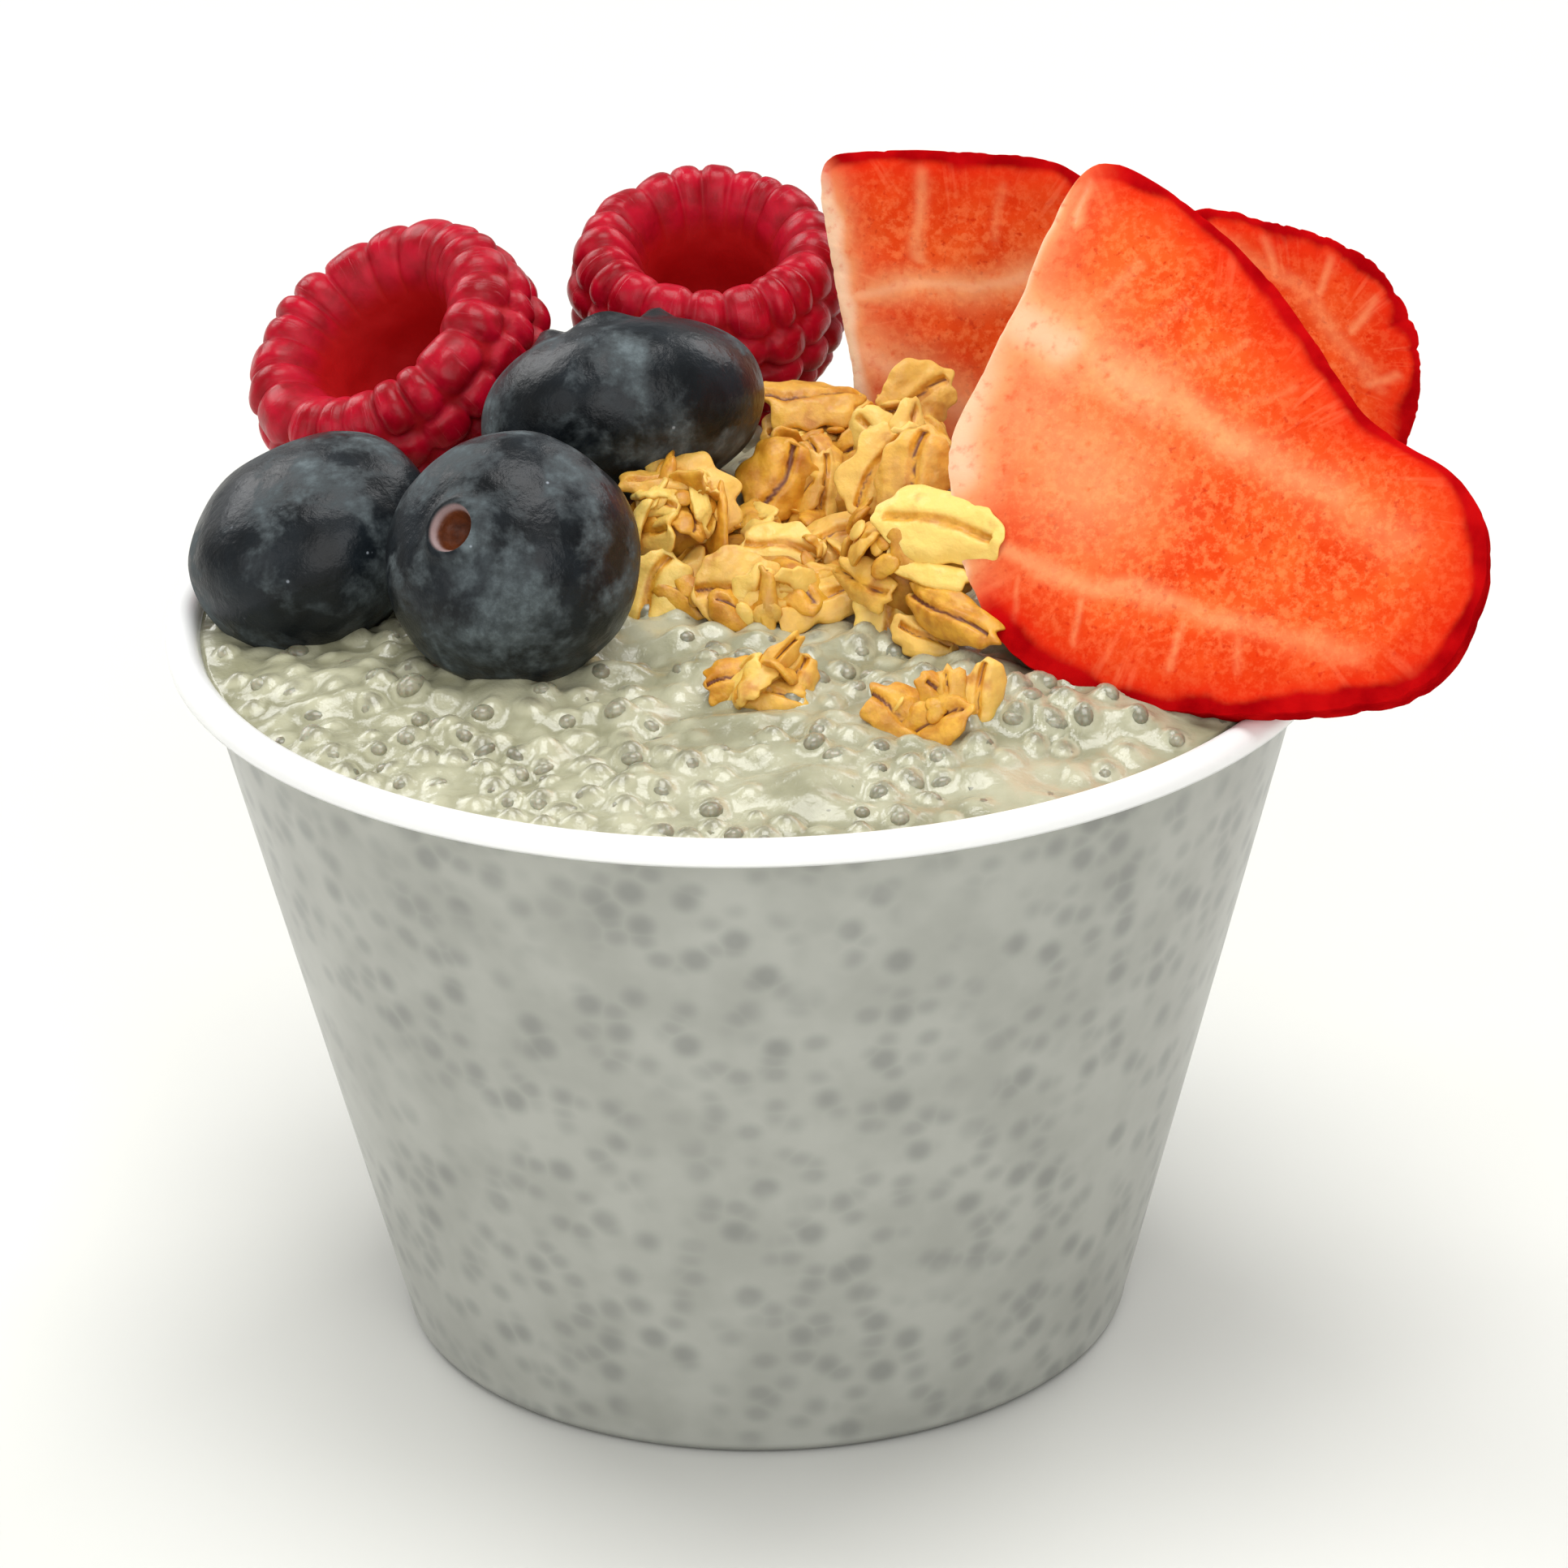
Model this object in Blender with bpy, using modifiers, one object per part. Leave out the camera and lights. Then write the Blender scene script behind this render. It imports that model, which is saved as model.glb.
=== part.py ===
"""A small tapered portion cup of chia pudding, heaped with berries and granola.

Units are metres with +Z up. The origin is the centre of the cup's flat base, +X is the
right of the cup and -Y is its front. Places on the food are given in millimetres and
turned into metres by mm().
"""
import math
import random

import bmesh
import bpy
from mathutils import Euler, Matrix, Vector, noise

# The cup
RIM_RADIUS = 0.0375
RIM_TOP = 0.0489
LIP_UNDERSIDE = 0.04756
LIP_INNER_RADIUS = 0.0354
WALL_TOP_RADIUS = 0.03553
BASE_RADIUS = 0.02358
WALL = 0.0006
FLOOR = 0.0008
BASE_CORNER = 0.0008
TURN_STEPS = 48
SLOPE = (WALL_TOP_RADIUS - BASE_RADIUS) / LIP_UNDERSIDE

# Room left between neighbours, and the smallest edge kept
GAP = 0.0003
PRESS_GAP = 0.0008
SEAT_GAP = 0.0006
HEAP_GAP = 0.0005
SLIVER = 0.00003

# How a soft topping gives way to the cup: above the level it may lean out over the lip by
# this many times its rise, and it is pushed in rather than lifted while that is the less
OVERHANG = 3.0
OVERHANG_LEVEL = 0.0491
PUSH_BEFORE_LIFT = 4

# The pudding
TOPPING_ROOM = 0.012
SURFACE_PITCH = 0.0019
SURFACE_SPAN = 0.074
EDGE_LEVEL = 0.0476
CROWN_RISE = 0.0016
SEED_PITCH = 0.0023
SEED_RELIEF = 0.0007
LUMP_PITCH = 0.009
LUMP_RELIEF = 0.0012
# Banks of pudding pushed up by the toppings: place, reach along X and Y, rise, all in mm
BANKS = (
    ((0.0, 14.0), (16.0, 9.0), 2.8),
    ((19.0, -16.0), (7.0, 5.0), 1.0),
    ((-6.0, -13.0), (9.0, 4.0), 0.6),
)

# The blueberries: places on them are polar angles, and rises are shares of the half height
BLUEBERRY_SEGMENTS = 20
BLUEBERRY_RINGS = 9
CROWN_LOBES = 5
CROWN_PLACE = 0.36
CROWN_SPREAD = 0.14
CROWN_LEVEL = 0.02
CROWN_LOBE_RISE = 0.07
PIT_SPREAD = 0.25
PIT_DEPTH = 0.16
SCAR_SPREAD = 0.2
SCAR_DEPTH = 0.08

# The raspberries: rings that go to the hollow and to the rim, and shares of their size
RASPBERRY_SEGMENTS = 40
RASPBERRY_RINGS = 16
HOLLOW_RINGS = 5
RIM_END_RING = 8
HOLLOW_RADIUS = 0.48
HOLLOW_DEPTH = 0.62
LIP_RADIUS = 0.95
LIP_ROUNDNESS = 0.75
SIDE_START = -0.3
DRUPELETS_ROUND = 20
DRUPELET_SWELL = 0.08

# The strawberry pieces, in mm
SLICE_SEGMENTS = 30
SLICE_RINGS = 8
SLICE_EDGE = 0.6

# The oat flakes and the lumps under them, in mm
FLAKE_SEGMENTS = 8
FLAKE_RINGS = 4
FLAKE_THICKNESS = 1.1
FLAKE_CURL = (0.25, 0.7)
FLAKE_UNEVENNESS = (0.88, 1.08)
LUMP_SEGMENTS = 10
LUMP_RINGS = 6
GRANOLA_SEED = 7

# Plain colours of the solids
CUP_COLOUR = (0.78, 0.78, 0.76)
PUDDING_COLOUR = (0.6, 0.59, 0.52)
BLUEBERRY_COLOUR = (0.03, 0.04, 0.06)
RASPBERRY_COLOUR = (0.5, 0.0, 0.02)
STRAWBERRY_COLOUR = (0.75, 0.06, 0.02)
GRANOLA_COLOUR = (0.68, 0.4, 0.12)

# Cut faces in their own plane, in mm: X along the face, Y up it
FRONT_OUTLINE = (
    (-12.3, 19.6), (-6.8, 19.1), (1.6, 13.6), (8.6, 6.5), (11.8, 4.5), (16.4, 2.3),
    (18.9, -2.2), (17.8, -9.0), (13.4, -12.4), (1.6, -14.6), (-8.7, -13.2),
    (-13.4, -9.0), (-16.0, -3.8), (-17.2, 1.0), (-15.0, 9.8),
)
BACK_LEFT_OUTLINE = (
    (-9.4, 9.3), (-6.7, 10.5), (0.7, 10.3), (7.0, 9.2), (11.5, 4.5), (12.0, -3.0),
    (8.0, -9.5), (-1.0, -12.0), (-6.8, -9.5), (-7.6, -4.0), (-8.8, 2.8),
)
BACK_RIGHT_OUTLINE = (
    (-6.0, 10.7), (-1.8, 9.8), (2.8, 8.3), (5.4, 6.5), (7.4, 3.6), (8.1, -0.1),
    (7.1, -5.1), (3.0, -10.5), (-4.0, -14.2), (-9.0, -9.0), (-10.0, 0.0), (-8.6, 7.5),
)

# Oat flakes in mm and degrees: X, Y, Z, length, width, lean from flat, turn, heading
HEAP_FLAKES = (
    (4.0, 15.5, 56.7, 7.4, 4.8, 12, 3, 0),
    (10.8, 13.3, 57.4, 5.4, 4.6, 65, 20, 10),
    (6.8, 14.6, 55.6, 4.4, 3.4, 35, -20, 0),
    (2.8, 15.0, 54.8, 4.4, 3.4, 30, 15, 0),
    (-3.8, 1.0, 55.6, 6.6, 5.4, 58, -35, -10),
    (1.7, 6.6, 54.4, 6.0, 4.8, 62, 60, 5),
    (4.6, 7.0, 53.6, 5.4, 2.6, 60, 80, 15),
    (-7.2, 1.3, 52.8, 3.8, 3.0, 30, 0, 0),
    (1.8, -0.4, 52.6, 5.6, 4.0, 40, -15, 0),
    (5.3, 0.6, 52.9, 5.2, 4.0, 35, 20, 0),
    (-6.4, -4.0, 51.4, 5.6, 4.4, 60, 70, -15),
    (-1.2, -5.2, 51.9, 5.8, 5.2, 60, 10, 0),
    (4.0, -5.3, 51.2, 6.4, 3.8, 35, 20, 0),
    (7.9, 0.2, 57.6, 6.4, 4.4, 60, 55, 10),
    (10.2, -2.4, 58.6, 6.0, 4.8, 62, 75, -10),
    (11.6, -8.4, 57.3, 9.0, 5.0, 50, -4, -25),
    (11.3, -9.0, 54.9, 7.4, 3.4, 12, -4, -25),
    (12.0, -12.2, 52.9, 7.8, 3.0, 50, -12, -38),
    (8.5, -8.2, 51.2, 5.4, 4.2, 55, 70, 0),
    (10.6, -10.8, 50.8, 4.2, 2.8, 40, -30, 0),
    (-5.8, 0.7, 56.9, 5.0, 2.2, 8, 0, 0),
)
NEAR_CLUSTER_FLAKES = (
    (1.0, -17.2, 51.6, 5.6, 1.8, 60, 48, 0),
    (-1.5, -16.8, 50.8, 3.6, 3.2, 50, 20, 0),
    (2.4, -17.0, 50.8, 3.8, 3.2, 55, 60, 10),
    (1.2, -18.0, 50.2, 4.4, 2.8, 40, -10, 0),
)
RIGHT_CLUSTER_FLAKES = (
    (8.8, -21.4, 50.2, 5.2, 3.8, 50, -35, 0),
    (12.2, -21.8, 50.4, 6.2, 3.0, 60, -55, 10),
    (13.6, -21.4, 51.0, 5.6, 2.8, 65, 80, -10),
)
# Lumps that the flakes lie on, in mm: centre, reach along X, Y and Z
HEAP_LUMPS = (
    ((0.0, 1.0, 50.5), (7.6, 8.5, 2.8)),
    ((5.5, 11.0, 52.5), (5.5, 6.0, 3.0)),
    ((9.5, 11.8, 54.0), (3.2, 3.4, 3.4)),
    ((9.6, -4.0, 52.4), (4.2, 6.4, 5.0)),
    ((-4.8, 0.4, 54.0), (3.2, 2.2, 3.0)),
)
NEAR_CLUSTER_LUMPS = (((0.7, -16.6, 50.2), (2.4, 1.8, 1.4)),)
RIGHT_CLUSTER_LUMPS = (((11.2, -21.0, 49.9), (3.2, 1.6, 1.2)),)


def mm(*values):
    return Vector(values) * 0.001


def arc(centre, radius, start, end, steps):
    """Points of an arc from start to end degrees, round a centre in the XZ plane."""
    points = []
    for step in range(steps + 1):
        angle = math.radians(start + (end - start) * step / steps)
        x = centre[0] + radius * math.cos(angle)
        z = centre[1] + radius * math.sin(angle)
        points.append((x, z))
    return points


def clear_scene():
    for obj in list(bpy.data.objects):
        bpy.data.objects.remove(obj, do_unlink=True)


def new_collection(name):
    collection = bpy.data.collections.new(name)
    bpy.context.scene.collection.children.link(collection)
    return collection


def material(name, colour, roughness):
    """The material of this name, made the first time it is asked for."""
    mat = bpy.data.materials.get(name)
    if mat:
        return mat
    mat = bpy.data.materials.new(name)
    mat.use_nodes = True
    shader = mat.node_tree.nodes["Principled BSDF"]
    shader.inputs["Base Color"].default_value = (*colour, 1.0)
    shader.inputs["Roughness"].default_value = roughness
    shader.inputs["Metallic"].default_value = 0.0
    mat.diffuse_color = (*colour, 1.0)
    return mat


def object_from_bmesh(name, bm, collection, mat=None):
    bmesh.ops.recalc_face_normals(bm, faces=bm.faces)
    mesh = bpy.data.meshes.new(name)
    bm.to_mesh(mesh)
    bm.free()
    obj = bpy.data.objects.new(name, mesh)
    collection.objects.link(obj)
    if mat:
        mesh.materials.append(mat)
    return obj


def hide_as_cutter(obj):
    obj.hide_render = True
    obj.display_type = "WIRE"


def boolean(obj, operation, cutter, solver="EXACT"):
    modifier = obj.modifiers.new(f"{operation.lower()} {cutter.name}", "BOOLEAN")
    modifier.operation = operation
    modifier.solver = solver
    if isinstance(cutter, bpy.types.Collection):
        modifier.operand_type = "COLLECTION"
        modifier.collection = cutter
    else:
        modifier.object = cutter
    return modifier


def apply_modifiers(obj):
    """Puts the evaluated mesh in place of the object's own, and drops its modifiers."""
    evaluated = obj.evaluated_get(bpy.context.evaluated_depsgraph_get())
    mesh = bpy.data.meshes.new_from_object(evaluated)
    obj.modifiers.clear()
    obj.data = mesh


def tidy_mesh(obj):
    """Makes an applied Boolean's mesh whole triangles, without slivers or loose scraps."""
    bm = bmesh.new()
    bm.from_mesh(obj.data)
    bmesh.ops.remove_doubles(bm, verts=bm.verts, dist=SLIVER)
    bmesh.ops.dissolve_degenerate(bm, edges=bm.edges, dist=SLIVER)
    bmesh.ops.triangulate(bm, faces=bm.faces)
    scraps = [face for body in connected_bodies(bm)[1:] for face in body]
    bmesh.ops.delete(bm, geom=scraps, context="FACES")
    bm.to_mesh(obj.data)
    bm.free()


def connected_bodies(bm):
    """The faces of each separate body, the one with the most of them first."""
    bodies = []
    waiting = set(bm.faces)
    while waiting:
        body = [waiting.pop()]
        for face in body:
            joined = [edge for edge in face.edges if edge.is_manifold]
            for other in (near for edge in joined for near in edge.link_faces):
                if other in waiting:
                    waiting.remove(other)
                    body.append(other)
        bodies.append(body)
    return sorted(bodies, key=len, reverse=True)


def turned(name, profile, collection, mat=None):
    """A solid of revolution: the profile runs up its inner side and down its outer one."""
    mesh = bpy.data.meshes.new(name)
    points = [(x, 0.0, z) for x, z in profile]
    mesh.from_pydata(points, [(i, i + 1) for i in range(len(points) - 1)], [])
    obj = bpy.data.objects.new(name, mesh)
    collection.objects.link(obj)
    if mat:
        mesh.materials.append(mat)
    screw = obj.modifiers.new("turn", "SCREW")
    screw.steps = TURN_STEPS
    screw.render_steps = TURN_STEPS
    screw.use_merge_vertices = True
    screw.merge_threshold = 0.00001
    screw.use_smooth_shade = True
    return obj


def rounded(name, form, segments, rings, collection, mat):
    """A closed form: each point of a unit sphere is moved to form(longitude, polar)."""
    bm = bmesh.new()
    bmesh.ops.create_uvsphere(bm, u_segments=segments, v_segments=rings, radius=1.0)
    for vert in bm.verts:
        longitude = math.atan2(vert.co.y, vert.co.x)
        polar = math.acos(max(-1.0, min(1.0, vert.co.z)))
        vert.co = form(longitude, polar)
    obj = object_from_bmesh(name, bm, collection, mat)
    obj.data.shade_smooth()
    return obj


def stand_along(obj, centre, direction, spin=0.0):
    """Puts the object's own +Z along a direction, turned by spin about it."""
    turn = Vector(direction).to_track_quat("Z", "Y").to_matrix().to_4x4()
    obj.matrix_world = Matrix.Translation(centre) @ turn @ Matrix.Rotation(spin, 4, "Z")


def lean_back(obj, centre, lean, heading, turn=0.0):
    """Tips a flat thing up from the floor by lean, then heads it round, in degrees."""
    heading_matrix = Euler((0, 0, math.radians(heading))).to_matrix().to_4x4()
    lean_matrix = Euler((math.radians(lean), 0, 0)).to_matrix().to_4x4()
    turn_matrix = Euler((0, 0, math.radians(turn))).to_matrix().to_4x4()
    obj.matrix_world = Matrix.Translation(centre) @ heading_matrix @ lean_matrix @ turn_matrix


def cup_radius(height):
    """The outer radius of the tapered wall at a height."""
    return BASE_RADIUS + SLOPE * height


def build_cup(collection):
    lip_crown = RIM_TOP - LIP_UNDERSIDE
    lip_bend = (RIM_RADIUS - LIP_INNER_RADIUS) / 2
    lip_centre = (LIP_INNER_RADIUS + lip_bend, LIP_UNDERSIDE + lip_crown - lip_bend)
    inner_floor_radius = cup_radius(FLOOR) - WALL
    profile = [(0.0, FLOOR)]
    profile += arc(
        (inner_floor_radius - BASE_CORNER, FLOOR + BASE_CORNER), BASE_CORNER, -90, -14, 2
    )
    profile.append((cup_radius(LIP_UNDERSIDE) - WALL, LIP_UNDERSIDE))
    profile += arc(lip_centre, lip_bend, 180, 0, 6)
    profile.append((RIM_RADIUS, LIP_UNDERSIDE))
    profile.append((WALL_TOP_RADIUS, LIP_UNDERSIDE))
    profile += arc(
        (cup_radius(BASE_CORNER) - BASE_CORNER, BASE_CORNER), BASE_CORNER, 14, -90, 3
    )
    profile.append((0.0, 0.0))
    return turned("cup", profile, collection, material("cup plastic", CUP_COLOUR, 0.3))


def surface_height(x, y):
    """The level of the pudding's top at a place, without its bumps."""
    radius = math.hypot(x, y) / WALL_TOP_RADIUS
    height = EDGE_LEVEL + CROWN_RISE * (1 - min(radius, 1.0) ** 4)
    for (bank_x, bank_y), (reach_x, reach_y), rise in BANKS:
        across = (x / 0.001 - bank_x) / reach_x
        along = (y / 0.001 - bank_y) / reach_y
        height += rise * 0.001 * math.exp(-(across**2 + along**2) / 2)
    return height


def bumpy_height(x, y):
    """The pudding's top with its lumps and bumps the size of soaked chia seeds."""
    lump = noise.noise(Vector((x, y, 0.01)) / LUMP_PITCH)
    seed = noise.noise(Vector((x, y, 0.02)) / SEED_PITCH)
    return surface_height(x, y) + LUMP_RELIEF * lump + SEED_RELIEF * seed


def surface_block(name, lift, collection):
    """A block whose upper side is the pudding's bumpy top, raised by lift."""
    cells = round(SURFACE_SPAN / SURFACE_PITCH)
    bm = bmesh.new()
    bmesh.ops.create_grid(bm, x_segments=cells, y_segments=cells, size=SURFACE_SPAN / 2)
    extruded = bmesh.ops.extrude_face_region(bm, geom=list(bm.faces))
    top = [item for item in extruded["geom"] if isinstance(item, bmesh.types.BMVert)]
    for vert in bm.verts:
        vert.co.z = -FLOOR
    for vert in top:
        vert.co.z = bumpy_height(vert.co.x, vert.co.y) + lift
    block = object_from_bmesh(name, bm, collection)
    hide_as_cutter(block)
    return block


def build_pudding(collection, block):
    foot = FLOOR + GAP
    head = RIM_TOP + TOPPING_ROOM
    inset = WALL + GAP
    foot_radius = cup_radius(foot) - inset
    profile = [(0.0, head), (cup_radius(LIP_UNDERSIDE) - inset, head)]
    profile.append((cup_radius(LIP_UNDERSIDE) - inset, LIP_UNDERSIDE))
    profile += arc((foot_radius - BASE_CORNER, foot + BASE_CORNER), BASE_CORNER, -14, -90, 2)
    profile.append((0.0, foot))
    pudding = turned("pudding", profile, collection, material("pudding", PUDDING_COLOUR, 0.35))
    boolean(pudding, "INTERSECT", block, "MANIFOLD")
    return pudding


def build_blueberry(name, centre, crown_axis, radius, half_height, collection):
    """A squat berry with a five-lobed crown round a pit on its +Z end, and a stem scar."""

    def form(longitude, polar):
        width = radius * math.sin(polar) ** 0.85
        level = half_height * math.copysign(abs(math.cos(polar)) ** 0.9, math.cos(polar))
        crown_ring = math.exp(-(((polar - CROWN_PLACE) / CROWN_SPREAD) ** 2))
        lobe = 0.5 + 0.5 * math.cos(CROWN_LOBES * longitude)
        level += half_height * crown_ring * (CROWN_LEVEL + CROWN_LOBE_RISE * lobe)
        level -= half_height * PIT_DEPTH * math.exp(-((polar / PIT_SPREAD) ** 2))
        level += half_height * SCAR_DEPTH * math.exp(-(((math.pi - polar) / SCAR_SPREAD) ** 2))
        return Vector((width * math.cos(longitude), width * math.sin(longitude), level))

    skin = material("blueberry", BLUEBERRY_COLOUR, 0.5)
    berry = rounded(name, form, BLUEBERRY_SEGMENTS, BLUEBERRY_RINGS, collection, skin)
    stand_along(berry, mm(*centre), crown_axis)
    return berry


def raspberry_profile(share, radius, height):
    """Radius, level and the drupelet row of a share of the way from hollow to tip."""
    hollow_share = HOLLOW_RINGS / RASPBERRY_RINGS
    rim_share = RIM_END_RING / RASPBERRY_RINGS
    hollow_radius = radius * HOLLOW_RADIUS
    hollow_depth = height * HOLLOW_DEPTH
    lip_radius = radius * LIP_RADIUS
    if share <= hollow_share:
        turn = share / hollow_share * math.pi / 2
        return hollow_radius * math.sin(turn) ** 0.7, -hollow_depth * math.cos(turn) ** 1.2, None
    if share <= rim_share:
        turn = (share - hollow_share) / (rim_share - hollow_share) * math.pi
        middle = (hollow_radius + lip_radius) / 2
        reach = (lip_radius - hollow_radius) / 2
        return middle - reach * math.cos(turn), reach * LIP_ROUNDNESS * math.sin(turn), 0
    along = (share - rim_share) / (1 - rim_share)
    turn = SIDE_START + (math.pi / 2 - SIDE_START) * along
    fall = (math.sin(turn) - math.sin(SIDE_START)) / (1 - math.sin(SIDE_START))
    row = along * (RASPBERRY_RINGS - RIM_END_RING) / 2
    return radius * max(math.cos(turn), 0.0) ** 0.7, -height * fall, row


def build_raspberry(name, centre, opening_axis, radius, height, spin, collection):
    """A hollow berry, open at its +Z end: rows of drupelets round a cone."""

    def form(longitude, polar):
        width, level, row = raspberry_profile(polar / math.pi, radius, height)
        if row is not None:
            number = math.floor(row)
            round_wave = math.cos(DRUPELETS_ROUND / 2 * longitude + number * math.pi / 2) ** 2
            row_wave = math.sin((row - number) * math.pi) if row > 0 else 1.0
            swell = radius * DRUPELET_SWELL * (round_wave * (0.35 + 0.65 * row_wave) - 0.3)
            width += swell * (1.0 if row > 0 else 0.4) * min(1.0, width / (radius * 0.4))
            level += swell * 0.8 if row == 0 else 0.0
        return Vector((width * math.cos(longitude), width * math.sin(longitude), level))

    flesh = material("raspberry", RASPBERRY_COLOUR, 0.35)
    berry = rounded(name, form, RASPBERRY_SEGMENTS, RASPBERRY_RINGS, collection, flesh)
    stand_along(berry, mm(*centre), opening_axis, spin)
    return berry


def smooth_outline(points, steps=6):
    """A closed smooth curve through the points of an outline."""
    curve = []
    count = len(points)
    for index in range(count):
        before, start, end, after = (Vector(points[(index + k) % count]) for k in (-1, 0, 1, 2))
        for step in range(steps):
            t = step / steps
            line = 2 * start + (end - before) * t
            bend = (2 * before - 5 * start + 4 * end - after) * t**2
            swing = (3 * start - before - 3 * end + after) * t**3
            curve.append(0.5 * (line + bend + swing))
    return curve


def outline_reach(curve, longitude):
    """How far the outline lies from its origin in a direction."""
    direction = Vector((math.cos(longitude), math.sin(longitude)))
    side = Vector((-direction.y, direction.x))
    best = 0.0
    for index, start in enumerate(curve):
        end = curve[(index + 1) % len(curve)]
        start_side, end_side = start.dot(side), end.dot(side)
        if start_side * end_side <= 0 and start_side != end_side:
            cross = start.lerp(end, start_side / (start_side - end_side))
            best = max(best, cross.dot(direction))
    return best


def build_strawberry_piece(name, centre, lean, heading, outline, depth, collection):
    """A cut piece: a flat face of the given outline, and a rounded back of the skin."""
    curve = smooth_outline(outline)

    def form(longitude, polar):
        reach = outline_reach(curve, longitude)
        if polar <= math.pi / 2:
            share = math.sin(polar) ** 0.75
            level = -SLICE_EDGE * share**8
        else:
            share = math.sin(math.pi - polar) ** 0.6
            level = -SLICE_EDGE - (depth - SLICE_EDGE) * (-math.cos(polar)) ** 0.85
        return mm(reach * share * math.cos(longitude), reach * share * math.sin(longitude), level)

    flesh = material("strawberry", STRAWBERRY_COLOUR, 0.35)
    piece = rounded(name, form, SLICE_SEGMENTS, SLICE_RINGS, collection, flesh)
    lean_back(piece, mm(*centre), lean, heading)
    return piece


def build_flake(name, row, rng, collection, mat):
    """A rolled oat: a thin oval that is curled along its length."""
    x, y, z, length, width, lean, turn, heading = row
    curl = rng.uniform(*FLAKE_CURL)
    uneven = [rng.uniform(*FLAKE_UNEVENNESS) for _ in range(FLAKE_SEGMENTS)]

    def form(longitude, polar):
        spoke = round(longitude / (2 * math.pi) * FLAKE_SEGMENTS) % FLAKE_SEGMENTS
        across = math.sin(polar) ** 0.7
        flat_x = length / 2 * across * math.cos(longitude) * uneven[spoke]
        flat_y = width / 2 * across * math.sin(longitude) * uneven[spoke]
        level = FLAKE_THICKNESS / 2 * math.cos(polar)
        level -= curl * (flat_y / (width / 2)) ** 2 + 0.4 * curl * (flat_x / (length / 2)) ** 2
        return mm(flat_x, flat_y, level)

    flake = rounded(name, form, FLAKE_SEGMENTS, FLAKE_RINGS, collection, mat)
    lean_back(flake, mm(x, y, z), lean, heading, turn)
    return flake


def build_core(name, parts, collection, mat):
    """Smooth lumps that the flakes of the heap lie on, as one body to fuse them to."""
    for index, (centre, reach) in enumerate(parts):

        def form(longitude, polar, reach=reach):
            across = math.sin(polar)
            x = reach[0] * across * math.cos(longitude)
            return mm(x, reach[1] * across * math.sin(longitude), reach[2] * math.cos(polar))

        lump = rounded(f"{name} lump {index}", form, LUMP_SEGMENTS, LUMP_RINGS, collection, mat)
        lump.matrix_world = Matrix.Translation(mm(*centre))


def fuse(name, pieces, collection):
    """Joins all the solids of a collection into one, and removes them."""
    bodies = list(pieces.objects)
    body = bodies[0]
    body.name = name
    pieces.objects.unlink(body)
    collection.objects.link(body)
    boolean(body, "UNION", pieces)
    apply_modifiers(body)
    for other in bodies[1:]:
        bpy.data.objects.remove(other, do_unlink=True)
    bpy.data.collections.remove(pieces)
    return body


def build_granola(name, rows, lumps, collection, keep_clear_of):
    oats = material("granola", GRANOLA_COLOUR, 0.7)
    rng = random.Random(GRANOLA_SEED)
    pieces = new_collection(f"{name} pieces")
    build_core(name, lumps, pieces, oats)
    for index, row in enumerate(rows):
        build_flake(f"{name} flake {index}", row, rng, pieces, oats)
    granola = fuse(name, pieces, collection)
    for cutter in keep_clear_of:
        boolean(granola, "DIFFERENCE", cutter)
    apply_modifiers(granola)
    tidy_mesh(granola)
    return granola


def press_into_cup(topping):
    """Moves in the skin of a soft topping wherever it would reach into the wall or the lip."""
    for vert in topping.data.vertices:
        place = topping.matrix_world @ vert.co
        reach = math.hypot(place.x, place.y)
        limit = min(cup_radius(place.z), WALL_TOP_RADIUS) - WALL - PRESS_GAP
        lift = OVERHANG_LEVEL + (reach - limit) / OVERHANG - place.z
        limit += OVERHANG * max(0.0, place.z - OVERHANG_LEVEL)
        if reach > limit:
            if reach - limit < PUSH_BEFORE_LIFT * lift:
                place.xy *= limit / reach
            else:
                place.z += lift
            vert.co = topping.matrix_world.inverted() @ place


def seat_cutter(topping, collection):
    """A copy of a topping that is a gap wider than it all round."""
    bm = bmesh.new()
    bm.from_mesh(topping.data)
    bm.normal_update()
    for vert in bm.verts:
        vert.co += vert.normal * SEAT_GAP
    cutter = object_from_bmesh(f"seat of {topping.name}", bm, collection)
    cutter.matrix_world = topping.matrix_world.copy()
    hide_as_cutter(cutter)
    return cutter


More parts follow.
